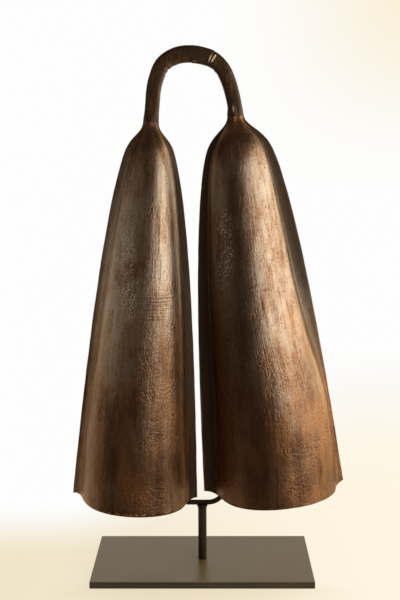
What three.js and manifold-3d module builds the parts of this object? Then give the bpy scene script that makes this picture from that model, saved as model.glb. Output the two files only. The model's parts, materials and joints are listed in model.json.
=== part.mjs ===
// Iron double gong, kept as currency, on its display stand.
// Millimetres. +X is the viewer's right, +Y points away from the viewer, +Z is up.
// The origin is on the table, under the middle of the base plate and the axis of the post.

import * as THREE from "three";
import { mergeVertices } from "three/addons/utils/BufferGeometryUtils.js";
import loadManifold from "manifold-3d";

// Fit between pieces
const clearance = 0.3;

// Gong: two bells of two leaves each, and the handle that joins them
const sheet = 2;
const bellGap = 6.5;
const gongOffset = -2.1;
const seamForward = 6;
const neckStep = 6.2;

// Flange widths and the lean of the dome's crest, inwards, run from the shoulder to the mouth in four equal steps.
// side is -1 for the left bell and 1 for the right one, and splay is how far its mouth leans outwards.
const leftBell = {
  side: -1,
  length: 523,
  mouthWidth: 175,
  mouthBelly: 68,
  fullness: 0.384,
  shoulderDrop: 20,
  shoulderPower: 2.2,
  splay: THREE.MathUtils.degToRad(3.25),
  lipSkew: 0,
  outerCornerRise: 4,
  innerCornerRise: 7,
  neckWidth: 20.6,
  outerFlange: [9, 11, 11, 10, 12],
  innerFlange: [5, 9, 11, 13, 12],
  crestLean: [7, 6.5, 4, 1, 0],
};
const rightBell = {
  side: 1,
  length: 520.4,
  mouthWidth: 195.4,
  mouthBelly: 70,
  fullness: 0.325,
  shoulderDrop: 21,
  shoulderPower: 1.8,
  splay: THREE.MathUtils.degToRad(6.05),
  lipSkew: 4,
  outerCornerRise: 8.6,
  innerCornerRise: 8.6,
  neckWidth: 21.8,
  outerFlange: [7, 16.3, 16.5, 5, 11],
  innerFlange: [5, 13, 17, 21, 19],
  crestLean: [0, 2, 3.5, 2.5, 0],
};
const flangeLap = 1.5;
const leafRows = 24;
const leafSegments = 16;
const rowCrowding = 2;

const handle = {
  rise: 85,
  armWidth: 19.2,
  crownWidth: 22.2,
  thickness: 15,
  chamfer: 3.2,
  leastFlat: 0.8,
  neckFlare: 14,
  tangLength: 38,
  tangDraw: 1.7,
  shoulderRamp: 0.5,
  scarfEnd: 142,
  scarfLength: 26,
  scarfTip: 4,
  ringSpacing: 7,
};

// The handle's middle line: how far across from the left neck to the right one, and how far up to the crown
const handleRoute = [
  [0.02, 0.26],
  [0.034, 0.45],
  [0.066, 0.63],
  [0.146, 0.845],
  [0.298, 0.97],
  [0.455, 1],
  [0.6, 0.975],
  [0.737, 0.91],
  [0.851, 0.767],
  [0.92, 0.58],
  [0.963, 0.39],
  [0.993, 0.2],
];

// Stand
const plate = { width: 305, depth: 152.4, thickness: 9.5, edgeBreak: 0.6 };
const felt = { thickness: 1.5, inset: 3 };
const post = { diameter: 12, height: 82.5, filletReach: 1.6, filletHeight: 3.5, filletSteps: 4 };
const rod = { diameter: 7.1, setBack: 3, sides: 12 };
const leftProng = { bend: 14, wallGap: 4.6 };
const rightProng = { bend: 24, wallGap: 1.2 };
const prongRise = 95;
const prongTipRound = 1.2;
const bendSteps = 7;
const sleeve = { wall: 0.9, length: 68 };
const screw = { diameter: 6, headDiameter: 12, headHeight: 3.6, grip: 16 };
const roundSides = 32;

// How finely edges are searched, how near two corners count as one, and how far a cutter runs past its work
const edgeSteps = 200;
const gapSteps = 100;
const wallSteps = 20;
const lipSteps = 4;
const weldDistance = 1e-4;
const cutterOverrun = 1;

// Finishes
const iron = new THREE.MeshStandardMaterial({ color: 0x4a3424, roughness: 0.48, metalness: 0.7 });
const handleIron = new THREE.MeshStandardMaterial({ color: 0x3f2c1f, roughness: 0.55, metalness: 0.65 });
const blackSteel = new THREE.MeshStandardMaterial({ color: 0x23211d, roughness: 0.45, metalness: 0.5 });
const sleeveRubber = new THREE.MeshStandardMaterial({ color: 0x161514, roughness: 0.8, metalness: 0 });
const screwSteel = new THREE.MeshStandardMaterial({ color: 0x8d8d88, roughness: 0.35, metalness: 0.9 });
const blackFelt = new THREE.MeshStandardMaterial({ color: 0x1b1a19, roughness: 1, metalness: 0 });

const plateTop = felt.thickness + plate.thickness;
const rodRadius = rod.diameter / 2;
const rodHeight = plateTop + post.height;
const sleeveRadius = rodRadius + clearance + sleeve.wall;
const seamY = -seamForward;

// A closed body over a row of rings that all have the same number of points.
// capFaces lists the triangles that close one end, by their places in the ring.
function loft(rings, capFaces) {
  const ringSize = rings[0].length;
  const corners = rings.flat().flatMap((p) => [p.x, p.y, p.z]);
  const faces = [];
  for (let row = 0; row < rings.length - 1; row += 1) {
    for (let i = 0; i < ringSize; i += 1) {
      const here = row * ringSize + i;
      const beside = row * ringSize + ((i + 1) % ringSize);
      faces.push([here, beside, beside + ringSize], [here, beside + ringSize, here + ringSize]);
    }
  }
  const lastRing = (rings.length - 1) * ringSize;
  for (const [a, b, c] of capFaces) {
    faces.push([a, c, b], [lastRing + a, lastRing + b, lastRing + c]);
  }
  const geometry = new THREE.BufferGeometry();
  geometry.setAttribute("position", new THREE.Float32BufferAttribute(corners, 3));
  const outward = signedVolume(rings.flat(), faces) > 0;
  geometry.setIndex(faces.flatMap(([a, b, c]) => (outward ? [a, b, c] : [a, c, b])));
  geometry.computeVertexNormals();
  return geometry;
}

function signedVolume(points, faces) {
  const cross = new THREE.Vector3();
  let sixfold = 0;
  for (const [a, b, c] of faces) {
    sixfold += points[a].dot(cross.crossVectors(points[b], points[c]));
  }
  return sixfold / 6;
}

// The cap of a convex ring, fanned from its first point
function fanCap(ringSize) {
  return Array.from({ length: ringSize - 2 }, (_, i) => [0, i + 1, i + 2]);
}

// The cap of a ring that runs out along one side of a sheet and back along the other
function stripCap(ringSize) {
  const faces = [];
  for (let i = 0; i < ringSize / 2 - 1; i += 1) {
    const back = ringSize - 1 - i;
    faces.push([i, i + 1, back - 1], [i, back - 1, back]);
  }
  return faces;
}

// From a size at the neck to the bell's own size, over the shoulder
function overShoulder(bell, below, atNeck, full) {
  const turned = 1 - Math.exp(-((below / bell.shoulderDrop) ** bell.shoulderPower));
  return THREE.MathUtils.lerp(atNeck, full, turned);
}

// Half the bell's width over its flanges, at a distance below the neck
function halfWidth(bell, below) {
  const flared = (bell.mouthWidth / 2) * (below / bell.length) ** bell.fullness;
  return overShoulder(bell, below, bell.neckWidth / 2, flared);
}

// How far the dome stands out from the seam, at a distance below the neck
function bellyDepth(bell, below) {
  const flared = bell.mouthBelly * (below / bell.length) ** bell.fullness;
  return overShoulder(bell, below, handle.thickness / 2, flared);
}

// A size that changes from the shoulder to the mouth, at a distance below the neck
function alongBell(bell, below, atNeck, sizes) {
  const spline = new THREE.SplineCurve(sizes.map((size, i) => new THREE.Vector2(i, size)));
  return overShoulder(bell, below, atNeck, spline.getPoint(below / bell.length).y);
}

// The dome between the flanges: its middle and its half width, both measured outwards from the bell's axis
function dome(bell, below) {
  const half = halfWidth(bell, below);
  const outer = half - alongBell(bell, below, flangeLap, bell.outerFlange);
  const inner = alongBell(bell, below, flangeLap, bell.innerFlange) - half;
  return { half, middle: (outer + inner) / 2, radius: (outer - inner) / 2 };
}

// One cross-section of a leaf in the bell's own frame: along the outside and back along the inside.
// face is -1 for a front leaf and 1 for a back leaf.
function leafRing(bell, face, fraction) {
  const below = fraction * bell.length;
  const { half, middle, radius } = dome(bell, below);
  const seam = clearance / 2;
  const rise = bellyDepth(bell, below) - sheet - seam;
  const lean = alongBell(bell, below, 0, bell.crestLean);
  const place = (outwards, depth, cornerRise = 0) => {
    const skew = (bell.lipSkew / 2) * (outwards / half);
    const drop = fraction * (bell.length + skew - cornerRise);
    return new THREE.Vector3(bell.side * outwards, face * depth, -drop);
  };
  const across = (skin, reach) => {
    const line = [place(-half, skin, bell.innerCornerRise)];
    for (let i = 0; i <= leafSegments; i += 1) {
      const turn = (Math.PI * i) / leafSegments;
      const outwards = middle - reach * Math.cos(turn) - lean * Math.sin(turn) ** 2;
      line.push(place(outwards, skin + rise * Math.sin(turn)));
    }
    line.push(place(half, skin, bell.outerCornerRise));
    return line;
  };
  return [...across(seam + sheet, radius), ...across(seam, radius - sheet).reverse()];
}

function leaf(bell, face) {
  const rings = [];
  for (let row = 0; row <= leafRows; row += 1) {
    rings.push(leafRing(bell, face, (row / leafRows) ** rowCrowding));
  }
  return loft(rings, stripCap(rings[0].length));
}

// A point of the bell's outline, from its neck, in the gong's frame
function fromNeck(bell, outwards, below) {
  const sine = Math.sin(bell.splay);
  const cosine = Math.cos(bell.splay);
  return {
    x: bell.side * (outwards * cosine + below * sine),
    z: outwards * sine - below * cosine,
  };
}

// The bell's inner edge and the corner at its end
function innerEdge(bell, fraction) {
  const skewedLength = bell.length - bell.lipSkew / 2 - bell.innerCornerRise;
  return fromNeck(bell, -halfWidth(bell, fraction * bell.length), fraction * skewedLength);
}

// How far across the inner edge lies at a height, between two steps of the edge
function innerEdgeAt(bell, height) {
  let upper = innerEdge(bell, 0);
  for (let i = 1; i <= edgeSteps; i += 1) {
    const lower = innerEdge(bell, i / edgeSteps);
    if (lower.z <= height) {
      return THREE.MathUtils.mapLinear(height, upper.z, lower.z, upper.x, lower.x);
    }
    upper = lower;
  }
  return upper.x;
}

// The necks stand so far apart that the bells' inner edges pass each other at bellGap
function neckSpacing() {
  const lowest = Math.max(innerEdge(leftBell, 1).z, innerEdge(rightBell, 1).z + neckStep);
  const crowding = [];
  for (let i = 1; i <= gapSteps; i += 1) {
    const height = (lowest * i) / gapSteps;
    crowding.push(innerEdgeAt(leftBell, height) - innerEdgeAt(rightBell, height - neckStep));
  }
  return Math.max(...crowding) + bellGap;
}

// Neck places, across: the gap between the two inner corners is gongOffset off the post
const spacing = neckSpacing();
const cornerMiddle = (innerEdge(leftBell, 1).x + spacing + innerEdge(rightBell, 1).x) / 2;
const leftNeckX = gongOffset - cornerMiddle;
const rightNeckX = leftNeckX + spacing;

// The inside of a bell's inner wall, where the sleeve passes it: the farthest that it reaches into the bell
function innerWallReach(bell, neckX) {
  const depth = rod.setBack - seamY + sleeveRadius;
  let reach = -Infinity;
  for (let i = 0; i <= wallSteps; i += 1) {
    const below = bell.length - (prongRise * i) / wallSteps;
    const { middle, radius } = dome(bell, below);
    const turn = Math.asin(Math.min(1, depth / (bellyDepth(bell, below) - sheet)));
    const wall = fromNeck(bell, middle - (radius - sheet) * Math.cos(turn), below);
    reach = Math.max(reach, bell.side * (neckX + wall.x));
  }
  return bell.side * reach;
}

const leftProngX = innerWallReach(leftBell, leftNeckX) - leftProng.wallGap - sleeveRadius;
const rightProngX = innerWallReach(rightBell, rightNeckX) + rightProng.wallGap + sleeveRadius;

// The top of the rod's level run and bends, at a place across
function rodTop(x) {
  const intoLeft = leftProngX + leftProng.bend - x;
  const intoRight = x - (rightProngX - rightProng.bend);
  const climb = (into, bend) => {
    const radius = bend - rodRadius;
    return into > 0 ? radius - Math.sqrt(Math.max(0, radius ** 2 - into ** 2)) : 0;
  };
  return rodHeight + rodRadius + Math.max(climb(intoLeft, leftProng.bend), climb(intoRight, rightProng.bend));
}

// How high a bell's neck has to be for its inner lip to stand on the rod, which crosses it behind the seam
function neckHeightOnRod(bell, neckX) {
  const { middle, radius } = dome(bell, bell.length);
  const innerLength = bell.length - bell.lipSkew / 2;
  const depth = rod.setBack - seamY + rodRadius;
  const widestTurn = Math.asin(depth / (bell.mouthBelly - sheet));
  let height = -Infinity;
  for (const skin of [radius, radius - sheet]) {
    for (let i = 0; i <= lipSteps; i += 1) {
      const lip = fromNeck(bell, middle - skin * Math.cos((widestTurn * i) / lipSteps), innerLength);
      height = Math.max(height, rodTop(neckX + lip.x) + clearance - lip.z);
    }
  }
  return height;
}

const leftNeckZ = Math.max(
  neckHeightOnRod(leftBell, leftNeckX),
  neckHeightOnRod(rightBell, rightNeckX) - neckStep,
);
const rightNeckZ = leftNeckZ + neckStep;

// Handle
const middleLine = new THREE.CatmullRomCurve3([
  new THREE.Vector3(leftNeckX, seamY, leftNeckZ),
  ...handleRoute.map(
    ([across, up]) => new THREE.Vector3(leftNeckX + across * spacing, seamY, leftNeckZ + up * handle.rise),
  ),
  new THREE.Vector3(rightNeckX, seamY, rightNeckZ),
]);
const handleLength = middleLine.getLength();

// The corners round a bar that lies along the tangent: width in the arch's plane, front to back across it
const barSides = 8;

function barRing(centre, tangent, width, front, back, chamferAcross, chamferDeep) {
  const outwards = new THREE.Vector3(-tangent.z, 0, tangent.x);
  const half = width / 2;
  const corner = (across, deep) => centre.clone().addScaledVector(outwards, across).setY(centre.y + deep);
  return [
    corner(-half + chamferAcross, front),
    corner(half - chamferAcross, front),
    corner(half, front + chamferDeep),
    corner(half, back - chamferDeep),
    corner(half - chamferAcross, back),
    corner(-half + chamferAcross, back),
    corner(-half, back - chamferDeep),
    corner(-half, front + chamferDeep),
  ];
}

function barWidth(along) {
  const crown = Math.sin((Math.PI * along) / handleLength) ** 4;
  const body = THREE.MathUtils.lerp(handle.armWidth, handle.crownWidth, crown);
  const fromLeft = THREE.MathUtils.smoothstep(along, 0, handle.neckFlare);
  const fromRight = THREE.MathUtils.smoothstep(handleLength - along, 0, handle.neckFlare);
  return (
    body +
    (leftBell.neckWidth - handle.armWidth) * (1 - fromLeft) +
    (rightBell.neckWidth - handle.armWidth) * (1 - fromRight)
  );
}

// The bar's cross-section at a distance along the handle, between two depths
function handleRing(along, front, back) {
  const place = along / handleLength;
  const chamfer = Math.min(handle.chamfer, (back - front - handle.leastFlat) / 2);
  const centre = middleLine.getPointAt(place);
  return barRing(centre, middleLine.getTangentAt(place), barWidth(along), front, back, chamfer, chamfer);
}

// The tang fills the leaves' necks: an octagon inside their oval, drawn in all round towards its end
function tangRing(bell, neckX, neckZ, below, drawnIn) {
  const wide = bell.neckWidth / 2 - flangeLap - sheet - clearance - drawnIn;
  const deep = handle.thickness / 2 - sheet - clearance - drawnIn;
  const long = Math.cos(Math.PI / barSides);
  const short = Math.sin(Math.PI / barSides);
  const { x, z } = fromNeck(bell, 0, below);
  const down = fromNeck(bell, 0, 1);
  const centre = new THREE.Vector3(neckX + x, seamY, neckZ + z);
  const tangent = new THREE.Vector3(-down.x, 0, -down.z).multiplyScalar(-bell.side);
  const chamfers = [wide * (long - short), deep * (long - short)];
  return barRing(centre, tangent, 2 * wide * long, -deep * long, deep * long, ...chamfers);
}

function spread(from, to, step) {
  const count = Math.ceil((to - from) / step);
  return Array.from({ length: count + 1 }, (_, i) => from + ((to - from) * i) / count);
}

const handleFront = -handle.thickness / 2;
const handleBack = handle.thickness / 2;
const armStart = clearance + handle.shoulderRamp;
const scarfStart = handle.scarfEnd - handle.scarfLength;

// The depth of the scarf's sloping face: it starts near the back and ends near the front
function scarfDepth(along) {
  const part = (along - scarfStart) / handle.scarfLength;
  return THREE.MathUtils.lerp(handleBack - handle.scarfTip, handleFront + handle.scarfTip, part);
}

function leftArm() {
  const rings = [
    tangRing(leftBell, leftNeckX, leftNeckZ, handle.tangLength, handle.tangDraw),
    tangRing(leftBell, leftNeckX, leftNeckZ, -clearance, 0),
  ];
  for (const along of spread(armStart, scarfStart, handle.ringSpacing)) {
    rings.push(handleRing(along, handleFront, handleBack));
  }
  for (const along of spread(scarfStart + handle.shoulderRamp, handle.scarfEnd, handle.ringSpacing)) {
    rings.push(handleRing(along, handleFront, scarfDepth(along) - clearance / 2));
  }
  return loft(rings, fanCap(barSides));
}

function rightArm() {
  const lapStart = scarfStart + handle.shoulderRamp + clearance;
  const lapEnd = handle.scarfEnd + clearance;
  const rings = [];
  for (const along of spread(lapStart, lapEnd, handle.ringSpacing)) {
    rings.push(handleRing(along, scarfDepth(along) + clearance / 2, handleBack));
  }
  for (const along of spread(lapEnd + handle.shoulderRamp, handleLength - armStart, handle.ringSpacing)) {
    rings.push(handleRing(along, handleFront, handleBack));
  }
  rings.push(
    tangRing(rightBell, rightNeckX, rightNeckZ, -clearance, 0),
    tangRing(rightBell, rightNeckX, rightNeckZ, handle.tangLength, handle.tangDraw),
  );
  return loft(rings, fanCap(barSides));
}

// A closed turned body from its profile of [radius, height] points
function turned(profile) {
  const points = profile.map(([radius, height]) => new THREE.Vector2(radius, height));
  const geometry = new THREE.LatheGeometry(points, roundSides);
  geometry.rotateX(Math.PI / 2);
  return geometry;
}

const manifold = await loadManifold();
manifold.setup();

function toSolid(geometry) {
  const bare = geometry.clone();
  bare.deleteAttribute("normal");
  bare.deleteAttribute("uv");
  const merged = mergeVertices(bare, weldDistance);
  return new manifold.Manifold(
    new manifold.Mesh({
      numProp: 3,
      vertProperties: new Float32Array(merged.attributes.position.array),
      triVerts: new Uint32Array(merged.index.array),
    }),
  );
}

function toGeometry(solid) {
  const mesh = solid.getMesh();
  const geometry = new THREE.BufferGeometry();
  geometry.setAttribute("position", new THREE.Float32BufferAttribute(mesh.vertProperties, 3));
  geometry.setIndex(Array.from(mesh.triVerts));
  geometry.computeVertexNormals();
  return geometry;
}

// Fork: one rod from the left prong's tip, down, along under the bells and up to the right prong's tip
function forkRing(x, z, heading, radius) {
  const ring = [];
  for (let i = 0; i < rod.sides; i += 1) {
    const turn = (2 * Math.PI * i) / rod.sides;
    const out = radius * Math.cos(turn);
    const y = rod.setBack + radius * Math.sin(turn);
    ring.push(new THREE.Vector3(x - out * Math.sin(heading), y, z + out * Math.cos(heading)));
  }
  return ring;
}

function forkBend(prongX, bend, side) {
  const rings = [];
  for (let i = 0; i <= bendSteps; i += 1) {
    const turn = (Math.PI / 2) * (i / bendSteps);
    const x = prongX - side * bend * (1 - Math.sin(turn));
    const z = rodHeight + bend * (1 - Math.cos(turn));
    rings.push(forkRing(x, z, side * turn, rodRadius));
  }
  return rings;
}

const prongTop = rodHeight + prongRise;

function cradleFork() {
  const upright = Math.PI / 2;
  const tip = (x, side) => [
    forkRing(x, prongTop - prongTipRound, side * upright, rodRadius),
    forkRing(x, prongTop, side * upright, rodRadius - prongTipRound),
  ];
  const rings = [
    ...tip(leftProngX, -1).reverse(),
    ...forkBend(leftProngX, leftProng.bend, -1).reverse(),
    ...forkBend(rightProngX, rightProng.bend, 1),
    ...tip(rightProngX, 1),
  ];
  return loft(rings, fanCap(rod.sides));
}

// Sleeve: a soft tube, closed over the prong's tip
function prongSleeve() {
  const bore = rodRadius + clearance;
  const top = sleeve.length + clearance;
  return turned([
    [bore, 0],
    [sleeveRadius, 0],
    [sleeveRadius, top],
    [sleeveRadius - sleeve.wall, top + sleeve.wall],
    [0, top + sleeve.wall],
    [0, top],
    [bore, top],
    [bore, 0],
  ]);
}

// Post: a turned bar with a braze fillet at its head, a screw hole in its foot and a saddle for the rod
function postBody() {
  const radius = post.diameter / 2;
  const hole = screw.diameter / 2 + clearance;
  const filletFoot = post.height - rodRadius - post.filletHeight;
  const profile = [
    [0, screw.grip + clearance],
    [hole, screw.grip + clearance],
    [hole, 0],
    [radius, 0],
    [radius, filletFoot],
  ];
  for (let i = 1; i <= post.filletSteps; i += 1) {
    const part = i / post.filletSteps;
    profile.push([radius + post.filletReach * part ** 2, filletFoot + post.filletHeight * part]);
  }
  const headRadius = radius + post.filletReach;
  const headTop = post.height - rodRadius / 2;
  profile.push([headRadius, headTop], [0, headTop]);
  const seat = rodRadius + clearance;
  const saddle = new THREE.CylinderGeometry(seat, seat, 2 * (headRadius + cutterOverrun), roundSides);
  saddle.rotateZ(Math.PI / 2);
  saddle.translate(0, rod.setBack, post.height);
  return toGeometry(toSolid(turned(profile)).subtract(toSolid(saddle)));
}

function roundedPlate(width, depth, thickness, edgeBreak) {
  const outline = new THREE.Shape();
  const halfWide = width / 2 - edgeBreak;
  const halfDeep = depth / 2 - edgeBreak;
  outline.moveTo(-halfWide, -halfDeep);
  outline.lineTo(halfWide, -halfDeep);
  outline.lineTo(halfWide, halfDeep);
  outline.lineTo(-halfWide, halfDeep);
  outline.closePath();
  const geometry = new THREE.ExtrudeGeometry(outline, {
    depth: thickness - 2 * edgeBreak,
    bevelEnabled: edgeBreak > 0,
    bevelThickness: edgeBreak,
    bevelSize: edgeBreak,
    bevelSegments: 1,
  });
  geometry.translate(0, 0, edgeBreak);
  return geometry;
}

function basePlate() {
  const slab = roundedPlate(plate.width, plate.depth, plate.thickness, plate.edgeBreak);
  const shank = screw.diameter / 2 + clearance;
  const head = screw.headDiameter / 2 + clearance;
  const countersink = turned([
    [0, -cutterOverrun],
    [head, -cutterOverrun],
    [head, 0],
    [shank, screw.headHeight],
    [shank, plate.thickness + cutterOverrun],
    [0, plate.thickness + cutterOverrun],
  ]);
  return toGeometry(toSolid(slab).subtract(toSolid(countersink)));
}

// The screw stands on its countersunk head
function baseScrew() {
  const length = plate.thickness + screw.grip - clearance;
  return turned([
    [0, 0],
    [screw.headDiameter / 2, 0],
    [screw.diameter / 2, screw.headHeight],
    [screw.diameter / 2, length],
    [0, length],
  ]);
}

// Assembly
function piece(name, geometry, material, x = 0, y = 0, z = 0) {
  const mesh = new THREE.Mesh(geometry, material);
  mesh.name = name;
  mesh.position.set(x, y, z);
  return mesh;
}

function bellGroup(name, bell, neckX, neckZ) {
  const group = new THREE.Group();
  group.add(
    piece(`${name}_front_leaf`, leaf(bell, -1), iron),
    piece(`${name}_back_leaf`, leaf(bell, 1), iron),
  );
  group.position.set(neckX, seamY, neckZ);
  group.rotation.y = -bell.side * bell.splay;
  return group;
}

const gong = new THREE.Group();
gong.add(
  bellGroup("left", leftBell, leftNeckX, leftNeckZ),
  bellGroup("right", rightBell, rightNeckX, rightNeckZ),
  piece("handle_left_arm", leftArm(), handleIron),
  piece("handle_right_arm", rightArm(), handleIron),
);

function feltPad() {
  return roundedPlate(plate.width - 2 * felt.inset, plate.depth - 2 * felt.inset, felt.thickness, 0);
}

const sleeveFoot = prongTop - sleeve.length;
const stand = new THREE.Group();
stand.add(
  piece("felt_pad", feltPad(), blackFelt),
  piece("base_plate", basePlate(), blackSteel, 0, 0, felt.thickness),
  piece("base_screw", baseScrew(), screwSteel, 0, 0, felt.thickness),
  piece("post", postBody(), blackSteel, 0, 0, plateTop),
  piece("cradle_fork", cradleFork(), blackSteel),
  piece("left_prong_sleeve", prongSleeve(), sleeveRubber, leftProngX, rod.setBack, sleeveFoot),
  piece("right_prong_sleeve", prongSleeve(), sleeveRubber, rightProngX, rod.setBack, sleeveFoot),
);

const group = new THREE.Group();
group.add(stand, gong);
group.updateMatrixWorld(true);

export default group;
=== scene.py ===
"""Dresses the solids of an iron double gong and its display stand.

Sizes are in metres. +X is the viewer's right, +Y points away from the viewer and +Z is up.
"""

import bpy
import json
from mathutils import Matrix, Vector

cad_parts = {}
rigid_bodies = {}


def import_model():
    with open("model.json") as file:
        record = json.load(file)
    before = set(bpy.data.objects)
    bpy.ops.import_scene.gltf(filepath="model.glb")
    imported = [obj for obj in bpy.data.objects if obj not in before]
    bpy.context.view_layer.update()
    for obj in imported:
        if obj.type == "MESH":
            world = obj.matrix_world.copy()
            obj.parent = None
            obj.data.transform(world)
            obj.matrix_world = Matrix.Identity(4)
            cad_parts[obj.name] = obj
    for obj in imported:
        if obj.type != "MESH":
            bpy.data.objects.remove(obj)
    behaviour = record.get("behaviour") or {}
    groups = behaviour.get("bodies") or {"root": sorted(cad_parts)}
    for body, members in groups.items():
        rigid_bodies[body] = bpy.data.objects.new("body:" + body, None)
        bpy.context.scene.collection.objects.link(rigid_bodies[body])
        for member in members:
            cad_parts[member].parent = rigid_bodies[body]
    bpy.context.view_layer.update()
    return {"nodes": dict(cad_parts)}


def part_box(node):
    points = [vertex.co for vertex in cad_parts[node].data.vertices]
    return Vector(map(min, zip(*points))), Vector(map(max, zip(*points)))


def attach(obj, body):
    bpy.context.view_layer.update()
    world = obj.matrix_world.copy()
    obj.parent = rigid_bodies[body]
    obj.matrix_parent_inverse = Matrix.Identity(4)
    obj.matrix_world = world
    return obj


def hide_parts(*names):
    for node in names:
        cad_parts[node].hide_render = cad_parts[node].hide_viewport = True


bl_info = {
    "name": "Iron Double Gong",
    "version": (1, 0, 0),
    "blender": (4, 5, 0),
    "location": "View3D > Sidebar > Gong",
    "description": "Forges a double gong and its display stand round the frame of its solids",
    "category": "Object",
}

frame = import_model()

import json
import math

import bmesh
import bpy
import numpy as np
from bpy.props import FloatProperty, FloatVectorProperty, PointerProperty
from mathutils import Matrix, Vector

# The photograph's height and the camera's focal length in pixels, and the sensor's longer side
PHOTO_HEIGHT = 600
PHOTO_FOCAL = 950
SENSOR = 0.036

# Fits and forms that the solids share
CLEARANCE = 0.0003
FLANGE_SHARE = 0.1
FLANGE_COLUMNS = 10
DOME_COLUMNS = 104
FLANGE_LAP = 0.0015
SHEET = 0.002


def metres(name, default, description):
    """A length that a user can change."""
    return FloatProperty(
        name=name, description=description, default=default, subtype="DISTANCE", unit="LENGTH",
    )


def degrees(name, default, description):
    """An angle that a user can change, given in degrees."""
    return FloatProperty(name=name, description=description, default=math.radians(default), subtype="ANGLE")


def share(name, default, description):
    """A plain number that a user can change."""
    return FloatProperty(name=name, description=description, default=default, precision=3)


def widths(name, default, description):
    """Lengths from the shoulder to the mouth, in even steps."""
    return FloatVectorProperty(name=name, description=description, default=default, size=5, unit="LENGTH")


def shares(name, default, description):
    """Plain numbers from the shoulder to the mouth, in even steps."""
    return FloatVectorProperty(name=name, description=description, default=default, size=5, min=0, max=1)


def colour(name, default, description):
    """A colour that a user can change."""
    return FloatVectorProperty(
        name=name, description=description, default=default, size=3, subtype="COLOR", min=0, max=1,
    )


class LeftBellSizes(bpy.types.PropertyGroup):
    """The smaller bell."""

    length: metres("Length", 0.523, "From the neck to the mouth")
    mouth_width: metres("Mouth width", 0.175, "Over both flanges")
    mouth_belly: metres("Mouth belly", 0.068, "How far the dome stands out from the seam at the mouth")
    fullness: share("Fullness", 0.384, "Power of the flare: the lower, the sooner the bell is wide")
    shoulder_drop: metres("Shoulder drop", 0.020, "How fast the neck turns into the bell")
    shoulder_power: share("Shoulder power", 2.2, "How late that turn sets in")
    splay: degrees("Splay", 3.25, "How far the mouth leans outwards")
    lip_skew: metres("Lip skew", 0.0, "How much lower the outer side of the mouth hangs")
    outer_rise: metres("Outer corner rise", 0.004, "How far the outer flange is cut back at the mouth")
    inner_rise: metres("Inner corner rise", 0.007, "How far the inner flange is cut back at the mouth")
    neck_width: metres("Neck width", 0.0206, "Where the handle enters")
    outer_flange: widths("Outer flange", (0.009, 0.011, 0.011, 0.010, 0.012), "From shoulder to mouth")
    inner_flange: widths("Inner flange", (0.005, 0.009, 0.011, 0.013, 0.012), "From shoulder to mouth")
    crest_lean: widths("Crest lean", (0.007, 0.0065, 0.004, 0.001, 0.0), "How far the crest leans inwards")
    outer_softness: share("Outer fold softness", 1.0, "How roundly the dome runs out into its outer flange")
    inner_softness: share("Inner fold softness", 0.55, "How roundly the dome runs out into its inner flange")
    # The flange darkness paints shade on the flanges as well as dark oxide: darker where a flange faces away
    # from the lamps or into the gap between the bells
    outer_soot_and_shade: shares("Outer soot", (0.45, 0.25, 0.0, 0.0, 0.25), "Darkness of the outer flange")
    inner_soot_and_shade: shares("Inner soot", (0.5, 0.8, 0.6, 0.6, 0.9), "Darkness of the inner flange")


class RightBellSizes(bpy.types.PropertyGroup):
    """The larger bell."""

    length: metres("Length", 0.5204, "From the neck to the mouth")
    mouth_width: metres("Mouth width", 0.1954, "Over both flanges")
    mouth_belly: metres("Mouth belly", 0.070, "How far the dome stands out from the seam at the mouth")
    fullness: share("Fullness", 0.325, "Power of the flare: the lower, the sooner the bell is wide")
    shoulder_drop: metres("Shoulder drop", 0.021, "How fast the neck turns into the bell")
    shoulder_power: share("Shoulder power", 1.8, "How late that turn sets in")
    splay: degrees("Splay", 6.05, "How far the mouth leans outwards")
    lip_skew: metres("Lip skew", 0.004, "How much lower the outer side of the mouth hangs")
    outer_rise: metres("Outer corner rise", 0.0086, "How far the outer flange is cut back at the mouth")
    inner_rise: metres("Inner corner rise", 0.0086, "How far the inner flange is cut back at the mouth")
    neck_width: metres("Neck width", 0.0218, "Where the handle enters")
    outer_flange: widths("Outer flange", (0.007, 0.0163, 0.0165, 0.005, 0.011), "From shoulder to mouth")
    inner_flange: widths("Inner flange", (0.005, 0.013, 0.017, 0.021, 0.019), "From shoulder to mouth")
    crest_lean: widths("Crest lean", (0.0, 0.002, 0.0035, 0.0025, 0.0), "How far the crest leans inwards")
    outer_softness: share("Outer fold softness", 0.12, "How roundly the dome runs out into its outer flange")
    inner_softness: share("Inner fold softness", 0.9, "How roundly the dome runs out into its inner flange")
    # The flange darkness paints shade on the flanges as well as dark oxide: darker where a flange faces away
    # from the lamps or into the gap between the bells
    outer_soot_and_shade: shares("Outer soot", (1.0, 0.9, 0.5, 0.1, 0.0), "Darkness of the outer flange")
    inner_soot_and_shade: shares("Inner soot", (0.8, 0.9, 0.9, 0.9, 0.9), "Darkness of the inner flange")


class HandleSizes(bpy.types.PropertyGroup):
    """The arched bar over the two bells."""

    rise: metres("Rise", 0.085, "From the left neck up to the middle line's crown")
    arm_width: metres("Arm width", 0.0192, "Across the arms")
    crown_width: metres("Crown width", 0.0222, "Across the crown")
    thickness: metres("Thickness", 0.015, "Front to back")
    chamfer_across: share("Chamfer across", 0.32, "Of half the width, at the bar's long corners")
    chamfer_deep: share("Chamfer deep", 0.43, "Of half the thickness, at the same corners")
    neck_flare: metres("Neck flare", 0.014, "Over which the arm widens to the neck")
    tang_length: metres("Tang length", 0.038, "Inside the leaves' necks")
    scarf_end: metres("Scarf end", 0.142, "Where the front lap ends, from the left neck along the bar")
    scarf_length: metres("Scarf length", 0.026, "Of the lap")
    scarf_tip: metres("Scarf tip", 0.004, "Thickness that is left at each end of the lap")


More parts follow.
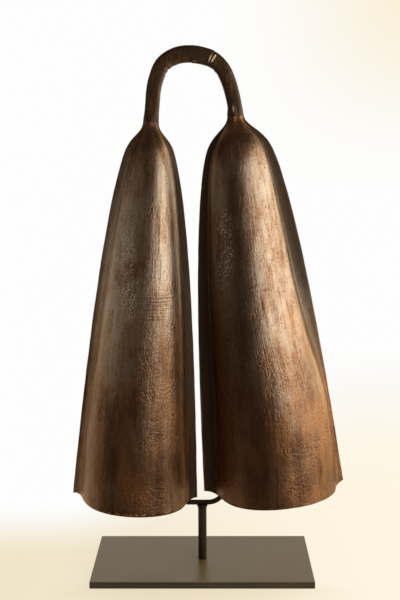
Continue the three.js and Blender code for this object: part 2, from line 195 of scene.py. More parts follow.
class StandSizes(bpy.types.PropertyGroup):
    """The plate, the post and the fork."""

    edge_round: metres("Edge rounding", 0.0009, "Along the plate's edges")
    rod_diameter: metres("Rod diameter", 0.0071, "Of the fork")
    left_bend: metres("Left bend", 0.014, "Radius of the fork's bend into the left bell")
    right_bend: metres("Right bend", 0.024, "Radius of the fork's bend into the right bell")
    post_diameter: metres("Post diameter", 0.012, "Of the upright")
    fillet_reach: metres("Fillet reach", 0.0016, "How far the braze stands out under the rod")
    fillet_height: metres("Fillet height", 0.0035, "How far the braze runs down the post")
    felt_thickness: metres("Felt thickness", 0.0015, "Of the pad under the plate")


class FinishColours(bpy.types.PropertyGroup):
    """The colours of the iron, the paint and the stage."""

    # Umber, at 0.8, is also the colour of the painted shade patches
    umber: colour("Umber", (0.080, 0.038, 0.022), "Old oiled patina")
    brown: colour("Brown", (0.200, 0.110, 0.060), "The iron's common tone")
    tan: colour("Tan", (0.315, 0.260, 0.208), "Where hands and cloth have rubbed the iron")
    rust: colour("Rust", (0.300, 0.135, 0.054), "Warm oxide")
    # A near black for pits and dark oxide; it also paints shade on the flanges and in the scribed grooves,
    # and darkens the bells' inside and the handle
    soot: colour("Soot", (0.026, 0.013, 0.007), "In folds, pits and inside the bells")
    # The plate's top: wear and a painted reflection of the pale backdrop
    plate: colour("Plate", (0.160, 0.112, 0.036), "The worn paint on the plate's top")
    paint: colour("Paint", (0.014, 0.010, 0.006), "The black of the stand")
    floor: colour("Floor", (0.86, 0.78, 0.64), "The pale floor")


class GongSettings(bpy.types.PropertyGroup):
    """All that the panel shows."""

    left_bell: PointerProperty(type=LeftBellSizes)
    right_bell: PointerProperty(type=RightBellSizes)
    handle: PointerProperty(type=HandleSizes)
    stand: PointerProperty(type=StandSizes)
    colours: PointerProperty(type=FinishColours)


class Wire:
    """One output of a node. Arithmetic on it adds Math nodes to its tree."""

    def __init__(self, wiring, socket):
        self.wiring = wiring
        self.socket = socket

    def beside(self, name):
        """Another output of the same node."""
        return Wire(self.wiring, self.socket.node.outputs[name])

    def __add__(self, other):
        return self.wiring.maths("ADD", self, other)

    def __sub__(self, other):
        return self.wiring.maths("SUBTRACT", self, other)

    def __rsub__(self, other):
        return self.wiring.maths("SUBTRACT", other, self)

    def __mul__(self, other):
        return self.wiring.maths("MULTIPLY", self, other)

    def __truediv__(self, other):
        return self.wiring.maths("DIVIDE", self, other)

    def __pow__(self, other):
        return self.wiring.maths("POWER", self, other)

    __radd__ = __add__
    __rmul__ = __mul__


class Wiring:
    """The nodes of one tree, added as they are asked for."""

    def __init__(self, tree):
        self.tree = tree
        tree.nodes.clear()

    def node(self, kind, settings=None, sockets=None, out=0):
        """Adds a node: its settings first, then the values or links of its sockets."""
        made = self.tree.nodes.new(kind)
        for name, value in (settings or {}).items():
            setattr(made, name, value)
        for key, value in (sockets or {}).items():
            if isinstance(value, Wire):
                self.tree.links.new(value.socket, made.inputs[key])
            else:
                made.inputs[key].default_value = value
        return Wire(self, made.outputs[out]) if len(made.outputs) else made

    def maths(self, operation, *values):
        """A Math node."""
        return self.node("ShaderNodeMath", {"operation": operation}, dict(enumerate(values)))

    def vector_maths(self, operation, *values):
        """A Vector Math node."""
        return self.node("ShaderNodeVectorMath", {"operation": operation}, dict(enumerate(values)))

    def blend(self, factor, low, high):
        """From one number to another."""
        return low + (high - low) * factor

    def tint(self, factor, low, high):
        """From one colour to another."""
        colours = {0: factor, 6: low, 7: high}
        return self.node("ShaderNodeMix", {"data_type": "RGBA"}, colours, out=2)

    def ramp(self, value, low, high, kind="SMOOTHSTEP"):
        """0 below low, 1 above high."""
        sockets = {"Value": value, "From Min": low, "From Max": high}
        return self.node("ShaderNodeMapRange", {"interpolation_type": kind}, sockets)

    def noise(self, vector, scale, detail=3.0, roughness=0.5):
        """Cloudy noise round 0.5."""
        sockets = {"Vector": vector, "Scale": scale, "Detail": detail, "Roughness": roughness}
        return self.node("ShaderNodeTexNoise", None, sockets)

    def stretched(self, vector, scale, move=(0.0, 0.0, 0.0)):
        """A pattern's coordinates, scaled apart along each axis."""
        return self.node("ShaderNodeMapping", None, {"Vector": vector, "Scale": scale, "Location": move})

    def warped(self, vector, scale, reach):
        """A pattern's coordinates, pushed about so that it runs unevenly."""
        sockets = {"Vector": vector, "Scale": scale, "Detail": 2.0}
        push = self.node("ShaderNodeTexNoise", None, sockets, out="Color")
        return self.vector_maths("MULTIPLY_ADD", push, (reach, reach, reach), vector)

    def cracks(self, vector, scale, width):
        """1 along the edges of small uneven cells, 0 inside them."""
        sockets = {"Vector": vector, "Scale": scale}
        to_edge = self.node("ShaderNodeTexVoronoi", {"feature": "DISTANCE_TO_EDGE"}, sockets)
        return self.ramp(to_edge, width, 0.0)

    def spot(self, place, centre, reach):
        """1 at a centre, falling to 0 at its reach along each axis."""
        scale = [1 / r for r in reach]
        move = [-c * k for c, k in zip(centre, scale)]
        away = self.vector_maths("LENGTH", self.stretched(place, scale, move)).beside("Value")
        return self.ramp(away, 1.0, 0.25)

    def spots(self, place, patches):
        """The strongest of some spots at each point: centre, reach along each axis, and strength."""
        strongest = 0.0
        for centre, reach, strength in patches:
            strongest = self.maths("MAXIMUM", strongest, self.spot(place, centre, reach) * strength)
        return strongest

    def point(self, x, y, z):
        """A vector from its parts."""
        return self.node("ShaderNodeCombineXYZ", None, {"X": x, "Y": y, "Z": z})

    def parts(self, vector):
        """A vector's X, with its Y and Z beside it."""
        return self.node("ShaderNodeSeparateXYZ", None, {"Vector": vector})

    def place(self, kind="Object"):
        """Where a point of the surface lies."""
        return self.node("ShaderNodeTexCoord", None, None, out=kind)

    def carried(self, name):
        """A number that the mesh carries at each point, for a material."""
        return self.node("ShaderNodeAttribute", {"attribute_name": name}, None, out="Fac")

    def bump(self, height, distance, strength):
        """A relief in the shading alone."""
        sockets = {"Height": height, "Distance": distance, "Strength": strength}
        return self.node("ShaderNodeBump", None, sockets)

    def seen_or_mirrored(self):
        """1 for what the camera sees, directly, in gloss or through glass, and 0 for what only lights."""
        ray = self.node("ShaderNodeLightPath")
        seen = self.maths("MAXIMUM", ray.beside("Is Camera Ray"), ray.beside("Is Glossy Ray"))
        return self.maths("MAXIMUM", seen, ray.beside("Is Transmission Ray"))


class FormingTree(Wiring):
    """A Geometry Nodes tree that shapes a blank, with named inputs."""

    def __init__(self, name, inputs):
        super().__init__(bpy.data.node_groups.new(name, "GeometryNodeTree"))
        face = self.tree.interface
        face.new_socket("Geometry", in_out="INPUT", socket_type="NodeSocketGeometry")
        for label, value in inputs.items():
            kind = "NodeSocketVector" if isinstance(value, tuple) else "NodeSocketFloat"
            if label == "Material":
                kind = "NodeSocketMaterial"
            socket = face.new_socket(label, in_out="INPUT", socket_type=kind)
            if label != "Material":
                socket.default_value = value
        face.new_socket("Geometry", in_out="OUTPUT", socket_type="NodeSocketGeometry")
        self.entry = self.tree.nodes.new("NodeGroupInput")

    def given(self, label):
        """One of the tree's inputs."""
        return Wire(self, self.entry.outputs[label])

    def attribute(self, name):
        """A number that the blank carries at each point."""
        return self.node("GeometryNodeInputNamedAttribute", {"data_type": "FLOAT"}, {"Name": name})

    def finish(self, geometry):
        """Shades, realises and paints the shape, and hands it out."""
        smooth = self.node("GeometryNodeSetShadeSmooth", None, {"Geometry": geometry})
        real = self.node("GeometryNodeRealizeInstances", None, {"Geometry": smooth})
        sockets = {"Geometry": real, "Material": self.given("Material")}
        painted = self.node("GeometryNodeSetMaterial", None, sockets)
        self.node("NodeGroupOutput", None, {"Geometry": painted})
        return self.tree


def add_object(name, data):
    """A new object of the scene."""
    obj = bpy.data.objects.new(name, data)
    bpy.context.scene.collection.objects.link(obj)
    return obj


def form(name, blank, tree, inputs):
    """Runs a tree on a blank mesh or curve, and returns the plain mesh object that comes out."""
    raw = add_object(f"{name}_blank", blank)
    modifier = raw.modifiers.new("Form", "NODES")
    modifier.node_group = tree
    ids = {s.name: s.identifier for s in tree.interface.items_tree if s.in_out == "INPUT"}
    for label, value in inputs.items():
        modifier[ids[label]] = value
    graph = bpy.context.evaluated_depsgraph_get()
    made = bpy.data.meshes.new_from_object(
        raw.evaluated_get(graph), preserve_all_data_layers=True, depsgraph=graph,
    )
    raw.modifiers.remove(modifier)
    bpy.data.batch_remove([raw, blank])
    made.name = name
    if not made.vertices:
        raise RuntimeError(f"{name} came out of its tree empty")
    face_outwards(made)
    return add_object(name, made)


def face_outwards(mesh, merge=0.0):
    """Turns a closed mesh's faces outwards, after points nearer than a distance are merged."""
    work = bmesh.new()
    work.from_mesh(mesh)
    if merge:
        bmesh.ops.remove_doubles(work, verts=work.verts, dist=merge)
    bmesh.ops.recalc_face_normals(work, faces=work.faces)
    work.to_mesh(mesh)
    work.free()


def mesh_object(name, points, faces, material, smooth=True, merge=0.0):
    """A new piece from points and faces."""
    mesh = bpy.data.meshes.new(name)
    mesh.from_pydata([tuple(p) for p in points], [], [tuple(f) for f in faces])
    mesh.materials.append(material)
    face_outwards(mesh, merge)
    mesh.polygons.foreach_set("use_smooth", [smooth] * len(mesh.polygons))
    return add_object(name, mesh)


def carry(mesh, label, values):
    """Has a mesh carry a number at each of its points."""
    data = mesh.attributes.new(label, "FLOAT", "POINT").data
    data.foreach_set("value", values.astype(np.float32).ravel())


def place_piece(obj, body, slot, *nodes):
    """Lets a piece ride on its body in place of its solids."""
    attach(obj, body)
    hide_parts(*nodes)


# Blanks: a leaf lies flat in shares of its width (x) and length (y), its outer skin at 1 and its inner at 0


def through(values, at):
    """A smooth curve through evenly spaced values."""
    padded = np.concatenate([[2 * values[0] - values[1]], values, [2 * values[-1] - values[-2]]])
    place = np.clip(at, 0, 1) * (len(values) - 1)
    i = np.minimum(place.astype(int), len(values) - 2)
    t = place - i
    before, low, high, after = (padded[i + k] for k in range(4))
    bend = 2 * before - 5 * low + 4 * high - after
    twist = -before + 3 * low - 3 * high + after
    return 0.5 * (2 * low + (high - before) * t + bend * t**2 + twist * t**3)


# Scribed lines, as (distance below the neck, middle, half span, depth, slant). The middle and the half span
# are shares of the way over the dome, from its inner fold to its outer one. The slant is over the whole dome
LEFT_LINES = (
    (0.2190, 0.40, 0.30, 0.00035, 0.004),
    (0.2250, 0.38, 0.30, 0.00055, 0.003),
    (0.2302, 0.37, 0.26, 0.00060, 0.003),
    (0.2340, 0.36, 0.22, 0.00060, 0.002),
    (0.2400, 0.38, 0.26, 0.00060, 0.002),
    (0.2458, 0.40, 0.16, 0.00055, 0.003),
    (0.2535, 0.41, 0.12, 0.00060, 0.002),
    (0.2235, 0.74, 0.10, 0.00060, -0.040),
    (0.2310, 0.76, 0.12, 0.00060, -0.045),
    (0.2385, 0.75, 0.11, 0.00055, -0.035),
)
RIGHT_LINES = (
    (0.1955, 0.66, 0.20, 0.00030, 0.002),
    (0.2165, 0.68, 0.16, 0.00045, 0.001),
    (0.2205, 0.64, 0.22, 0.00055, 0.001),
    (0.2262, 0.62, 0.15, 0.00050, 0.002),
)
# A line's width, how far it wavers up and down, and how many half widths below it its burr stands
LINE_WIDTH = 0.0017
LINE_WAVER = 0.0004
BURR_PLACE = 1.7

# Ridges (below 0) and valleys that run down a leaf, at its neck and where it was hit, as (middle over the
# dome, half span, distance below the neck, half length, depth)
RIGHT_MARKS = (
    (0.41, 0.055, 0.000, 0.013, -0.0009),
    (0.56, 0.060, 0.000, 0.011, 0.0008),
    (0.70, 0.050, 0.011, 0.006, -0.0008),
    (0.560, 0.010, 0.244, 0.010, 0.0002),
    (0.576, 0.010, 0.246, 0.012, -0.0005),
    (0.590, 0.011, 0.268, 0.013, -0.0006),
    (0.620, 0.011, 0.302, 0.012, -0.0006),
    (0.640, 0.030, 0.258, 0.018, 0.0007),
)
LEFT_MARKS = (
    (0.36, 0.080, 0.004, 0.012, 0.0004),
    (0.395, 0.012, 0.150, 0.030, -0.0004),
    (0.370, 0.012, 0.190, 0.026, -0.0004),
)


# A blank's rows: their steps, how far the shoulder's run down, how far the lines' run past the lines, where
# the even ones stop above the lip, and the last ones, which round it
ROW_STEP = 0.0029
SHOULDER_STEP = 0.0017
LINE_STEP = 0.0007
SHOULDER_REACH = 0.055
LINE_MARGIN = 0.004
LIP_REACH = 0.0035
LIP_ROWS = (0.0022, 0.0014, 0.0009, 0.0005, 0.00022, 0.0)


def row_places(length, lines):
    """Distances below the neck: closer together at the shoulder, at the scribed lines and at the lip."""
    top = min(line[0] for line in lines) - LINE_MARGIN
    bottom = max(line[0] for line in lines) + LINE_MARGIN
    places = [0.0]
    while places[-1] < length - LIP_REACH:
        here = places[-1]
        step = SHOULDER_STEP if here < SHOULDER_REACH else ROW_STEP
        if top < here < bottom:
            step = LINE_STEP
        places.append(here + step)
    return np.array(places + [length - above for above in LIP_ROWS])


def leaf_columns():
    """Shares of a leaf's width: closer together towards its edges."""
    edge = FLANGE_SHARE * (np.arange(FLANGE_COLUMNS) / FLANGE_COLUMNS) ** 1.6
    dome = np.linspace(FLANGE_SHARE, 1 - FLANGE_SHARE, DOME_COLUMNS)
    return np.concatenate([edge, dome, 1 - edge[::-1]])


def near(distance, reach):
    """1 at a line, falling evenly to 0 at its reach."""
    return np.clip(1 - distance / reach, 0, 1)


def bell_curve(distance, reach):
    """1 at a line, falling away in a bell curve."""
    return np.exp(-((distance / reach) ** 2))


def scribed(turn, below, lines):
    """How deep the scribed lines are cut."""
    depth = np.zeros_like(turn)
    for at, middle, half_span, deep, slant in lines:
        phase = at * 1900
        height = at + slant * (turn - middle) + LINE_WAVER * np.sin(23 * turn + phase)
        step = (below - height) / (LINE_WIDTH / 2)
        profile = 0.8 * bell_curve(step, 1.0) - 0.8 * bell_curve(step - BURR_PLACE, 1.0)
        fade = np.clip((half_span - np.abs(turn - middle)) / 0.10, 0, 1)
        broken = 0.62 + 0.38 * np.sin(31 * turn + 2 * phase) * np.sin(13 * turn + phase)
        depth += deep * profile * fade * broken
    return depth


def long_marks(turn, below, marks):
    """How deep a leaf's long valleys are, and how high its ridges."""
    depth = np.zeros_like(turn)
    for middle, half_span, at, half_length, deep in marks:
        depth += deep * bell_curve(turn - middle, half_span) * bell_curve(below - at, half_length)
    return depth


# A usual flange's width, then the distances from a leaf's edge and its lip over which they are rounded, and
# over which they are worn bright
USUAL_FLANGE = 0.011
EDGE_ROUND = 0.0011
LIP_ROUND = 0.0012
EDGE_WEAR = 0.0022
LIP_WEAR = 0.0026
# How far a fold is eased from a leaf's edge and from its neck, and how far over the dome its dark oxide and
# painted shade reach
FOLD_FROM_EDGE = 0.005
FOLD_FROM_NECK = 0.035
SOOT_AND_SHADE_REACH = 0.028


def blank_faces(rows, columns):
    """The faces of a blank: its two skins, its edges, and its two ends."""
    ring = 2 * columns
    index = np.arange(rows * ring).reshape(rows, ring)
    beside = np.roll(index, -1, 1)
    sides = np.stack([index[:-1], beside[:-1], beside[1:], index[1:]], -1).reshape(-1, 4)
    outer, inner = index[:, :columns], index[:, columns:][:, ::-1]
    ends = [np.stack([outer[r, :-1], outer[r, 1:], inner[r, 1:], inner[r, :-1]], -1) for r in (0, -1)]
    return np.concatenate([sides, ends[0][:, ::-1], ends[1]])


def leaf_blank(name, sizes, lines, marks):
    """A flat, closed sheet with the marks that its leaf will carry."""
    s, b = np.meshgrid(leaf_columns(), row_places(sizes.length, lines))
    f = b / sizes.length
    edge = np.minimum(s, 1 - s) / FLANGE_SHARE * USUAL_FLANGE
    lip = sizes.length - b
    edge_round = 0.4 * near(edge, EDGE_ROUND) ** 2
    lip_round = 0.24 * near(lip, LIP_ROUND) ** 2
    outer = np.stack([s, f, 1 - np.maximum(edge_round, lip_round)], -1)
    inner = np.stack([s, f, lip_round], -1)[:, ::-1]
    points = np.concatenate([outer, inner], 1).reshape(-1, 3)
    mesh = bpy.data.meshes.new(name)
    mesh.from_pydata(points.tolist(), [], blank_faces(*s.shape).tolist())

    def carry_both(label, over_outer, over_inner):
        """Has both skins carry a number."""
        carry(mesh, label, np.concatenate([over_outer, over_inner[:, ::-1]], 1))

    turn = np.clip((s - FLANGE_SHARE) / (1 - 2 * FLANGE_SHARE), 0, 1)
    cut = scribed(turn, b, lines) + long_marks(turn, b, marks)
    wear = np.maximum(near(edge, EDGE_WEAR), near(lip, LIP_WEAR))
    ramp = 1 - np.exp(-((b / sizes.shoulder_drop) ** sizes.shoulder_power))
    at_neck = {"outer_flange": FLANGE_LAP, "inner_flange": FLANGE_LAP, "crest_lean": 0.0}
    for label, first in at_neck.items():
        length = first + (through(np.array(getattr(sizes, label)[:]), f) - first) * ramp
        carry_both(label, length, length)
    fold = np.zeros_like(b)
    soot = np.zeros_like(b)
    for from_fold, softness, darkness in (
        (turn, sizes.inner_softness, sizes.inner_soot_and_shade),
        (1 - turn, sizes.outer_softness, sizes.outer_soot_and_shade),
    ):
        fold = np.maximum(fold, softness * bell_curve(from_fold, 0.05 + 0.09 * softness))
        # Dark oxide and painted shade along each fold and over its flange
        soot = np.maximum(soot, through(np.array(darkness[:]), f) * bell_curve(from_fold, SOOT_AND_SHADE_REACH))
    fold *= np.clip(edge / FOLD_FROM_EDGE, 0, 1) * np.clip(b / FOLD_FROM_NECK, 0, 1)
    carry_both("scribed", cut, np.zeros_like(cut))
    carry_both("wear", wear, wear)
    carry_both("fold", fold, fold)
    carry_both("soot", np.clip(soot, 0, 1), soot)
    carry_both("outside", np.ones_like(cut), np.zeros_like(cut))
    uv = mesh.uv_layers.new(name="UVMap")
    corners = np.empty(len(mesh.loops), int)
    mesh.loops.foreach_get("vertex_index", corners)
    uv.data.foreach_set("uv", points[corners, :2].ravel())
    return mesh


def leaf_tree():
    """Forms a flat blank into one leaf of a bell: flange, dome, flange, under a narrow neck."""
    inputs = {
        "Length": 0.52, "Mouth Width": 0.18, "Mouth Belly": 0.07, "Fullness": 0.35,
        "Shoulder Drop": 0.02, "Shoulder Power": 2.0, "Neck Width": 0.021, "Neck Thickness": 0.015,
        "Sheet": SHEET, "Seam Gap": CLEARANCE / 2, "Lip Skew": 0.0,
        "Outer Rise": 0.005, "Inner Rise": 0.005, "Splay": 0.05, "Side": 1.0, "Face": 1.0,
        "Dent Depth": 0.0005, "Edge Wander": 0.0007, "Edge Warp": 0.0016, "Lip Wave": 0.0014,
        "Neck": (0.0, 0.0, 0.0), "Material": None,
    }
    w = FormingTree("Form leaf", inputs)
    share_across = w.parts(w.node("GeometryNodeInputPosition"))
    fraction = share_across.beside("Y")
    skin = share_across.beside("Z")
    below = fraction * w.given("Length")
    turning = w.maths("POWER", below / w.given("Shoulder Drop"), w.given("Shoulder Power"))
    over_shoulder = 1 - w.maths("EXPONENT", 0 - turning)
    flare = w.maths("POWER", fraction, w.given("Fullness"))
    half = w.blend(over_shoulder, w.given("Neck Width") * 0.5, w.given("Mouth Width") * 0.5 * flare)
    belly = w.blend(over_shoulder, w.given("Neck Thickness") * 0.5, w.given("Mouth Belly") * flare)
    outer = half - w.attribute("outer_flange")
    inner = w.attribute("inner_flange") - half
    middle = (outer + inner) * 0.5
    radius = (outer - inner) * 0.5
    turn = w.ramp(share_across, FLANGE_SHARE, 1 - FLANGE_SHARE, "LINEAR") * math.pi
    on_inner = 1 - w.ramp(share_across, 0.0, FLANGE_SHARE, "LINEAR")
    on_outer = w.ramp(share_across, 1 - FLANGE_SHARE, 1.0, "LINEAR")
    sine = w.maths("SINE", turn)
    cosine = w.maths("COSINE", turn)
    rise = belly - w.given("Sheet") - w.given("Seam Gap")
    from_outside = (1 - skin) * w.given("Sheet")
    on_flange = w.maths("MAXIMUM", on_inner, on_outer)

    # The hammer's dents and the hand-cut edges
    side = w.given("Side")
    face = w.given("Face")
    spot = w.point((middle - radius * cosine) * side, rise * sine * face, below * 0.45)
    broad = w.noise(spot, 17.0, 1.5) - 0.5
    small = w.noise(spot, 58.0, 1.0) - 0.5
    fine = w.noise(spot, 140.0, 1.0) - 0.5
    easing = w.ramp(below, 0.0, 0.05)
    dent = (broad * 2.0 + small * 0.9 + fine * 0.4) * w.given("Dent Depth") * easing - w.attribute("scribed")
    run = w.point(side * 3.1, on_outer * 7.0, below * 24.0)
    wander = (w.noise(run, 1.0, 3.0) - 0.62) * w.given("Edge Wander") * 2.0 * easing
    bow = w.noise(w.point(side * 5.3, on_outer * 4.0, below * 11.0), 1.0, 1.0) - 0.5
    warp = bow * on_flange * w.given("Edge Warp") * easing

    steep = cosine * rise
    wide = sine * (radius - from_outside)
    slope = w.maths("SQRT", steep * steep + wide * wide) + 1e-6
    off_dome = w.ramp(on_flange, 0.0, 0.02, "LINEAR")
    outwards_q = 0 - (steep / slope) * (1 - off_dome)
    outwards_deep = w.blend(off_dome, wide / slope, 1.0)
    q = middle - (radius - from_outside) * cosine - w.attribute("crest_lean") * sine * sine
    q = q + dent * outwards_q
    q = q - on_inner * (w.attribute("inner_flange") + from_outside + wander)
    q = q + on_outer * (w.attribute("outer_flange") + from_outside + wander)
    deep = w.given("Seam Gap") + skin * w.given("Sheet") + rise * sine
    deep = deep + dent * outwards_deep * (1 - off_dome * 0.7)
    corner = on_inner * w.given("Inner Rise") + on_outer * w.given("Outer Rise")
    drop = fraction * (w.given("Length") + w.given("Lip Skew") * 0.5 * (q / half) - corner)
    wave = w.noise(w.point(side * 2.0, share_across * 6.0, face), 1.0, 2.0) - 0.5

    sin_splay = w.maths("SINE", w.given("Splay"))
    cos_splay = w.maths("COSINE", w.given("Splay"))
    down = drop + wave * w.given("Lip Wave") * fraction**24.0
    x = side * (q * cos_splay + down * sin_splay)
    z = q * sin_splay - down * cos_splay
    placed = w.vector_maths("ADD", w.given("Neck"), w.point(x, face * deep + warp, z))
    formed = w.node("GeometryNodeSetPosition", None, {"Geometry": w.given("Geometry"), "Position": placed})

    # The folds between dome and flange are rounded, as sheet bends
    here = w.node("GeometryNodeInputPosition")
    eased = w.node(
        "GeometryNodeBlurAttribute",
        {"data_type": "FLOAT_VECTOR"},
        {"Value": here, "Iterations": 80, "Weight": w.attribute("fold")},
    )
    rounded = w.node("GeometryNodeSetPosition", None, {"Geometry": formed, "Position": eased})
    return w.finish(rounded)


def bell_place(side, sizes):
    """A bell's neck, worked out from the boxes of its two leaves."""
    name = "left" if side < 0 else "right"
    low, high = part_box(f"{name}_front_leaf")
    seam = high.y + CLEARANCE / 2
    sine, cosine = math.sin(sizes.splay), math.cos(sizes.splay)
    corner = sizes.length + sizes.lip_skew / 2 - sizes.outer_rise
    reach = sizes.mouth_width / 2 * cosine + corner * sine
    edge = low.x if side < 0 else high.x
    return Vector((edge - side * reach, seam, high.z - sizes.neck_width / 2 * sine))


# Finishes


# Colours that the panel doesn't change
# The pale grey of flaked scale, which also paints sheen on the bells' left flanks
SCALE_AND_SHEEN_GREY = (0.50, 0.46, 0.38, 1.0)
# Bright tan on the handle for wear and for painted highlights
RUBBED_AND_HIGHLIT_TAN = (0.72, 0.54, 0.37, 1.0)
PLATE_SCRATCH = (0.42, 0.36, 0.27, 1.0)
PAPER_WHITE = (0.985, 0.985, 0.98, 1.0)

# Where the iron is painted darker towards umber, as painted shade: the right bell's inner half in the left
# bell's shade, the lower fronts, the right bell's outer edge and the necks. Each as centre, reach along each
# axis, and strength
PAINTED_SHADE_PATCHES = (
    ((0.036, -0.05, 0.340), (0.058, 0.14, 0.420), 0.75),
    ((0.070, -0.07, 0.190), (0.055, 0.14, 0.140), 0.60),
    ((0.158, -0.03, 0.315), (0.034, 0.10, 0.110), 0.45),
    ((-0.100, -0.07, 0.150), (0.075, 0.14, 0.150), 0.38),
    ((0.060, -0.07, 0.120), (0.060, 0.14, 0.110), 0.55),
    ((-0.054, -0.01, 0.632), (0.034, 0.10, 0.036), 0.80),
    ((0.032, -0.01, 0.640), (0.034, 0.10, 0.036), 0.80),
    ((-0.060, -0.07, 0.330), (0.030, 0.14, 0.090), 0.40),
    ((0.052, -0.03, 0.585), (0.020, 0.10, 0.045), 0.55),
)
# Where the iron has rusted warmer
RUSTED_PATCHES = (
    ((0.160, -0.03, 0.200), (0.060, 0.12, 0.180), 0.65),
    ((-0.036, -0.05, 0.310), (0.030, 0.09, 0.170), 0.80),
)
# Where pale grey is painted in small spots: flaked scale, and painted sheen where the bells' left flanks
# mirror the grey side of the studio
SCALE_AND_SHEEN_PATCHES = (
    ((-0.100, -0.05, 0.435), (0.026, 0.14, 0.120), 1.0),
    ((0.030, -0.05, 0.462), (0.018, 0.14, 0.080), 1.0),
)


def start_material(name):
    """A new node material and its wiring."""
    material = bpy.data.materials.new(name)
    material.use_nodes = True
    return material, Wiring(material.node_tree)


def surface(w, values):
    """The shader and the output of a material."""
    shader = w.node("ShaderNodeBsdfPrincipled", None, values)
    w.node("ShaderNodeOutputMaterial", None, {"Surface": shader})


def opaque(rgb):
    """A colour socket's value."""
    return (*rgb, 1.0)


class IronCoat:
    """The look of forged iron as it is built up: its tint, roughness, metal and relief."""

    def __init__(self, w, colours, on_leaf):
        self.w = w
        self.colours = colours
        self.place = w.place()
        if on_leaf:
            along = w.place("UV")
            broad, narrow = (26.0, 3.2, 1.0), (120.0, 9.0, 1.0)
        else:
            along = self.place
            broad, narrow = (60.0, 60.0, 14.0), (260.0, 260.0, 40.0)
        self.broad_streaks = w.noise(w.stretched(along, broad), 1.0, 4.0, 0.6)
        self.fine_streaks = w.noise(w.stretched(along, narrow), 1.0, 3.0, 0.65)
        self.blotch = w.noise(self.place, 9.0, 4.0, 0.6)
        self.mottle = w.noise(w.stretched(self.place, (1.2, 1.2, 0.42)), 52.0, 5.0, 0.62)
        self.grain = w.noise(self.place, 330.0, 3.0, 0.7)
        height = w.parts(self.place).beside("Z")
        self.upper = w.ramp(height + (self.blotch - 0.5) * 0.16, 0.18, 0.47)
        self.top = w.ramp(height, 0.545, 0.63)

    def stain(self, factor, colour):
        """Tints the iron where a factor is 1."""
        self.tinted = self.w.tint(factor, self.tinted, colour)

    def patina(self):
        """An oiled brown: burnished above, orange with oxide below, darker at the very top and in patches as
        painted shade, mottled and crackled.
        """
        w, place, colours = self.w, self.place, self.colours
        tone = self.blotch * 0.30 + self.broad_streaks * 0.20 + self.mottle * 0.36
        tone = tone + self.fine_streaks * 0.20 + self.grain * 0.22 - 0.14
        # Painted shade: darker at the very top of the bells and over the handle, where little light falls
        self.tone = tone + self.upper * 0.07 - self.top * 0.12
        light = w.ramp(self.tone, 0.34, 0.60)
        self.tinted = w.tint(light, opaque(colours.umber), opaque(colours.brown))
        self.stain(w.ramp(self.tone, 0.46, 0.66) * w.blend(self.upper, 0.25, 1.0), opaque(colours.tan))
        spread = w.noise(w.stretched(place, (1.0, 1.0, 0.4), (0.37, 0.0, 0.0)), 24.0, 5.0, 0.65)
        damp = w.spots(place, RUSTED_PATCHES) * 0.16
        spread = spread + self.broad_streaks * 0.2 + damp - self.upper * 0.22 + self.top * 0.16
        rust = w.ramp(spread, 0.50, 0.82) * 0.85
        self.stain(rust, opaque(colours.rust))
        pits = w.noise(place, 190.0, 4.0, 0.6)
        dark_pits = w.ramp(pits, 0.39, 0.30) * 0.45
        self.stain(dark_pits, opaque(colours.soot))
        # Painted shade: the shade patches darken the iron towards umber
        self.stain(w.spots(place, PAINTED_SHADE_PATCHES), opaque([0.8 * part for part in colours.umber]))
        self.rough = 0.27 + self.mottle * 0.08 + rust * 0.08 + dark_pits * 0.2
        self.metal = 0.84 + self.upper * 0.04 - self.top * 0.10 - rust * 0.06 - dark_pits * 0.3
        crackle = w.cracks(w.warped(w.stretched(place, (1.0, 1.0, 0.7)), 110.0, 0.008), 250.0, 0.22)
        crackle = crackle * w.ramp(w.noise(place, 27.0, 2.0), 0.44, 0.60)
        relief = self.mottle * 0.60 + pits * 0.26 + self.grain * 0.14 + self.fine_streaks * 0.36
        self.relief = relief - crackle * w.blend(self.upper, 0.17, 0.09)

    def leaf_marks(self):
        """A leaf's scribed lines with painted shade in their grooves, flanges darkened with dark oxide and
        painted shade, pale flakes of scale with painted sheen, edges with wear, and a darker, duller inside.
        """
        w, colours = self.w, self.colours
        # Painted shade, partly grime: the scribed grooves and long valleys are darkened
        self.stain(w.ramp(w.carried("scribed"), 0.0001, 0.0005) * 0.2, opaque(colours.soot))
        # Painted shade, partly dark oxide: the flanges and their folds are darkened and made less metallic
        flange_soot_and_shade = w.ramp(w.carried("soot") + (self.mottle - 0.5) * 0.5, 0.05, 0.80)
        self.stain(flange_soot_and_shade * 0.97, opaque(colours.soot))
        # Painted sheen, partly flaked scale: pale grey spots and a little relief on the bells' left flanks
        scale_and_sheen_place = w.spots(self.place, SCALE_AND_SHEEN_PATCHES)
        scale_and_sheen_flecks = w.ramp(w.noise(self.place, 420.0, 2.0, 0.6), 0.50, 0.61)
        scale_and_sheen_flecks = scale_and_sheen_flecks * scale_and_sheen_place * w.ramp(self.mottle, 0.36, 0.50)
        self.stain(scale_and_sheen_flecks * 0.7, SCALE_AND_SHEEN_GREY)
        self.relief = self.relief + scale_and_sheen_flecks * 0.35
        bright = w.ramp(w.carried("wear") + (self.mottle - 0.5) * 0.9, 0.70, 1.10) * 0.4
        self.stain(bright, opaque(colours.tan))
        inside = 1 - w.carried("outside")
        self.stain(inside * 0.6, opaque(colours.soot))
        self.rough = self.rough + inside * 0.25 - bright * 0.04 + flange_soot_and_shade * 0.26
        self.metal = self.metal - inside * 0.3 - flange_soot_and_shade * 0.65

    def bar_marks(self):
        """The handle's darker, greasier coat, painted bright on a few spots for wear and as painted
        highlights.
        """
        w = self.w
        self.stain(w.ramp(self.tone, 0.62, 0.40) * 0.32 + 0.58, opaque(self.colours.soot))
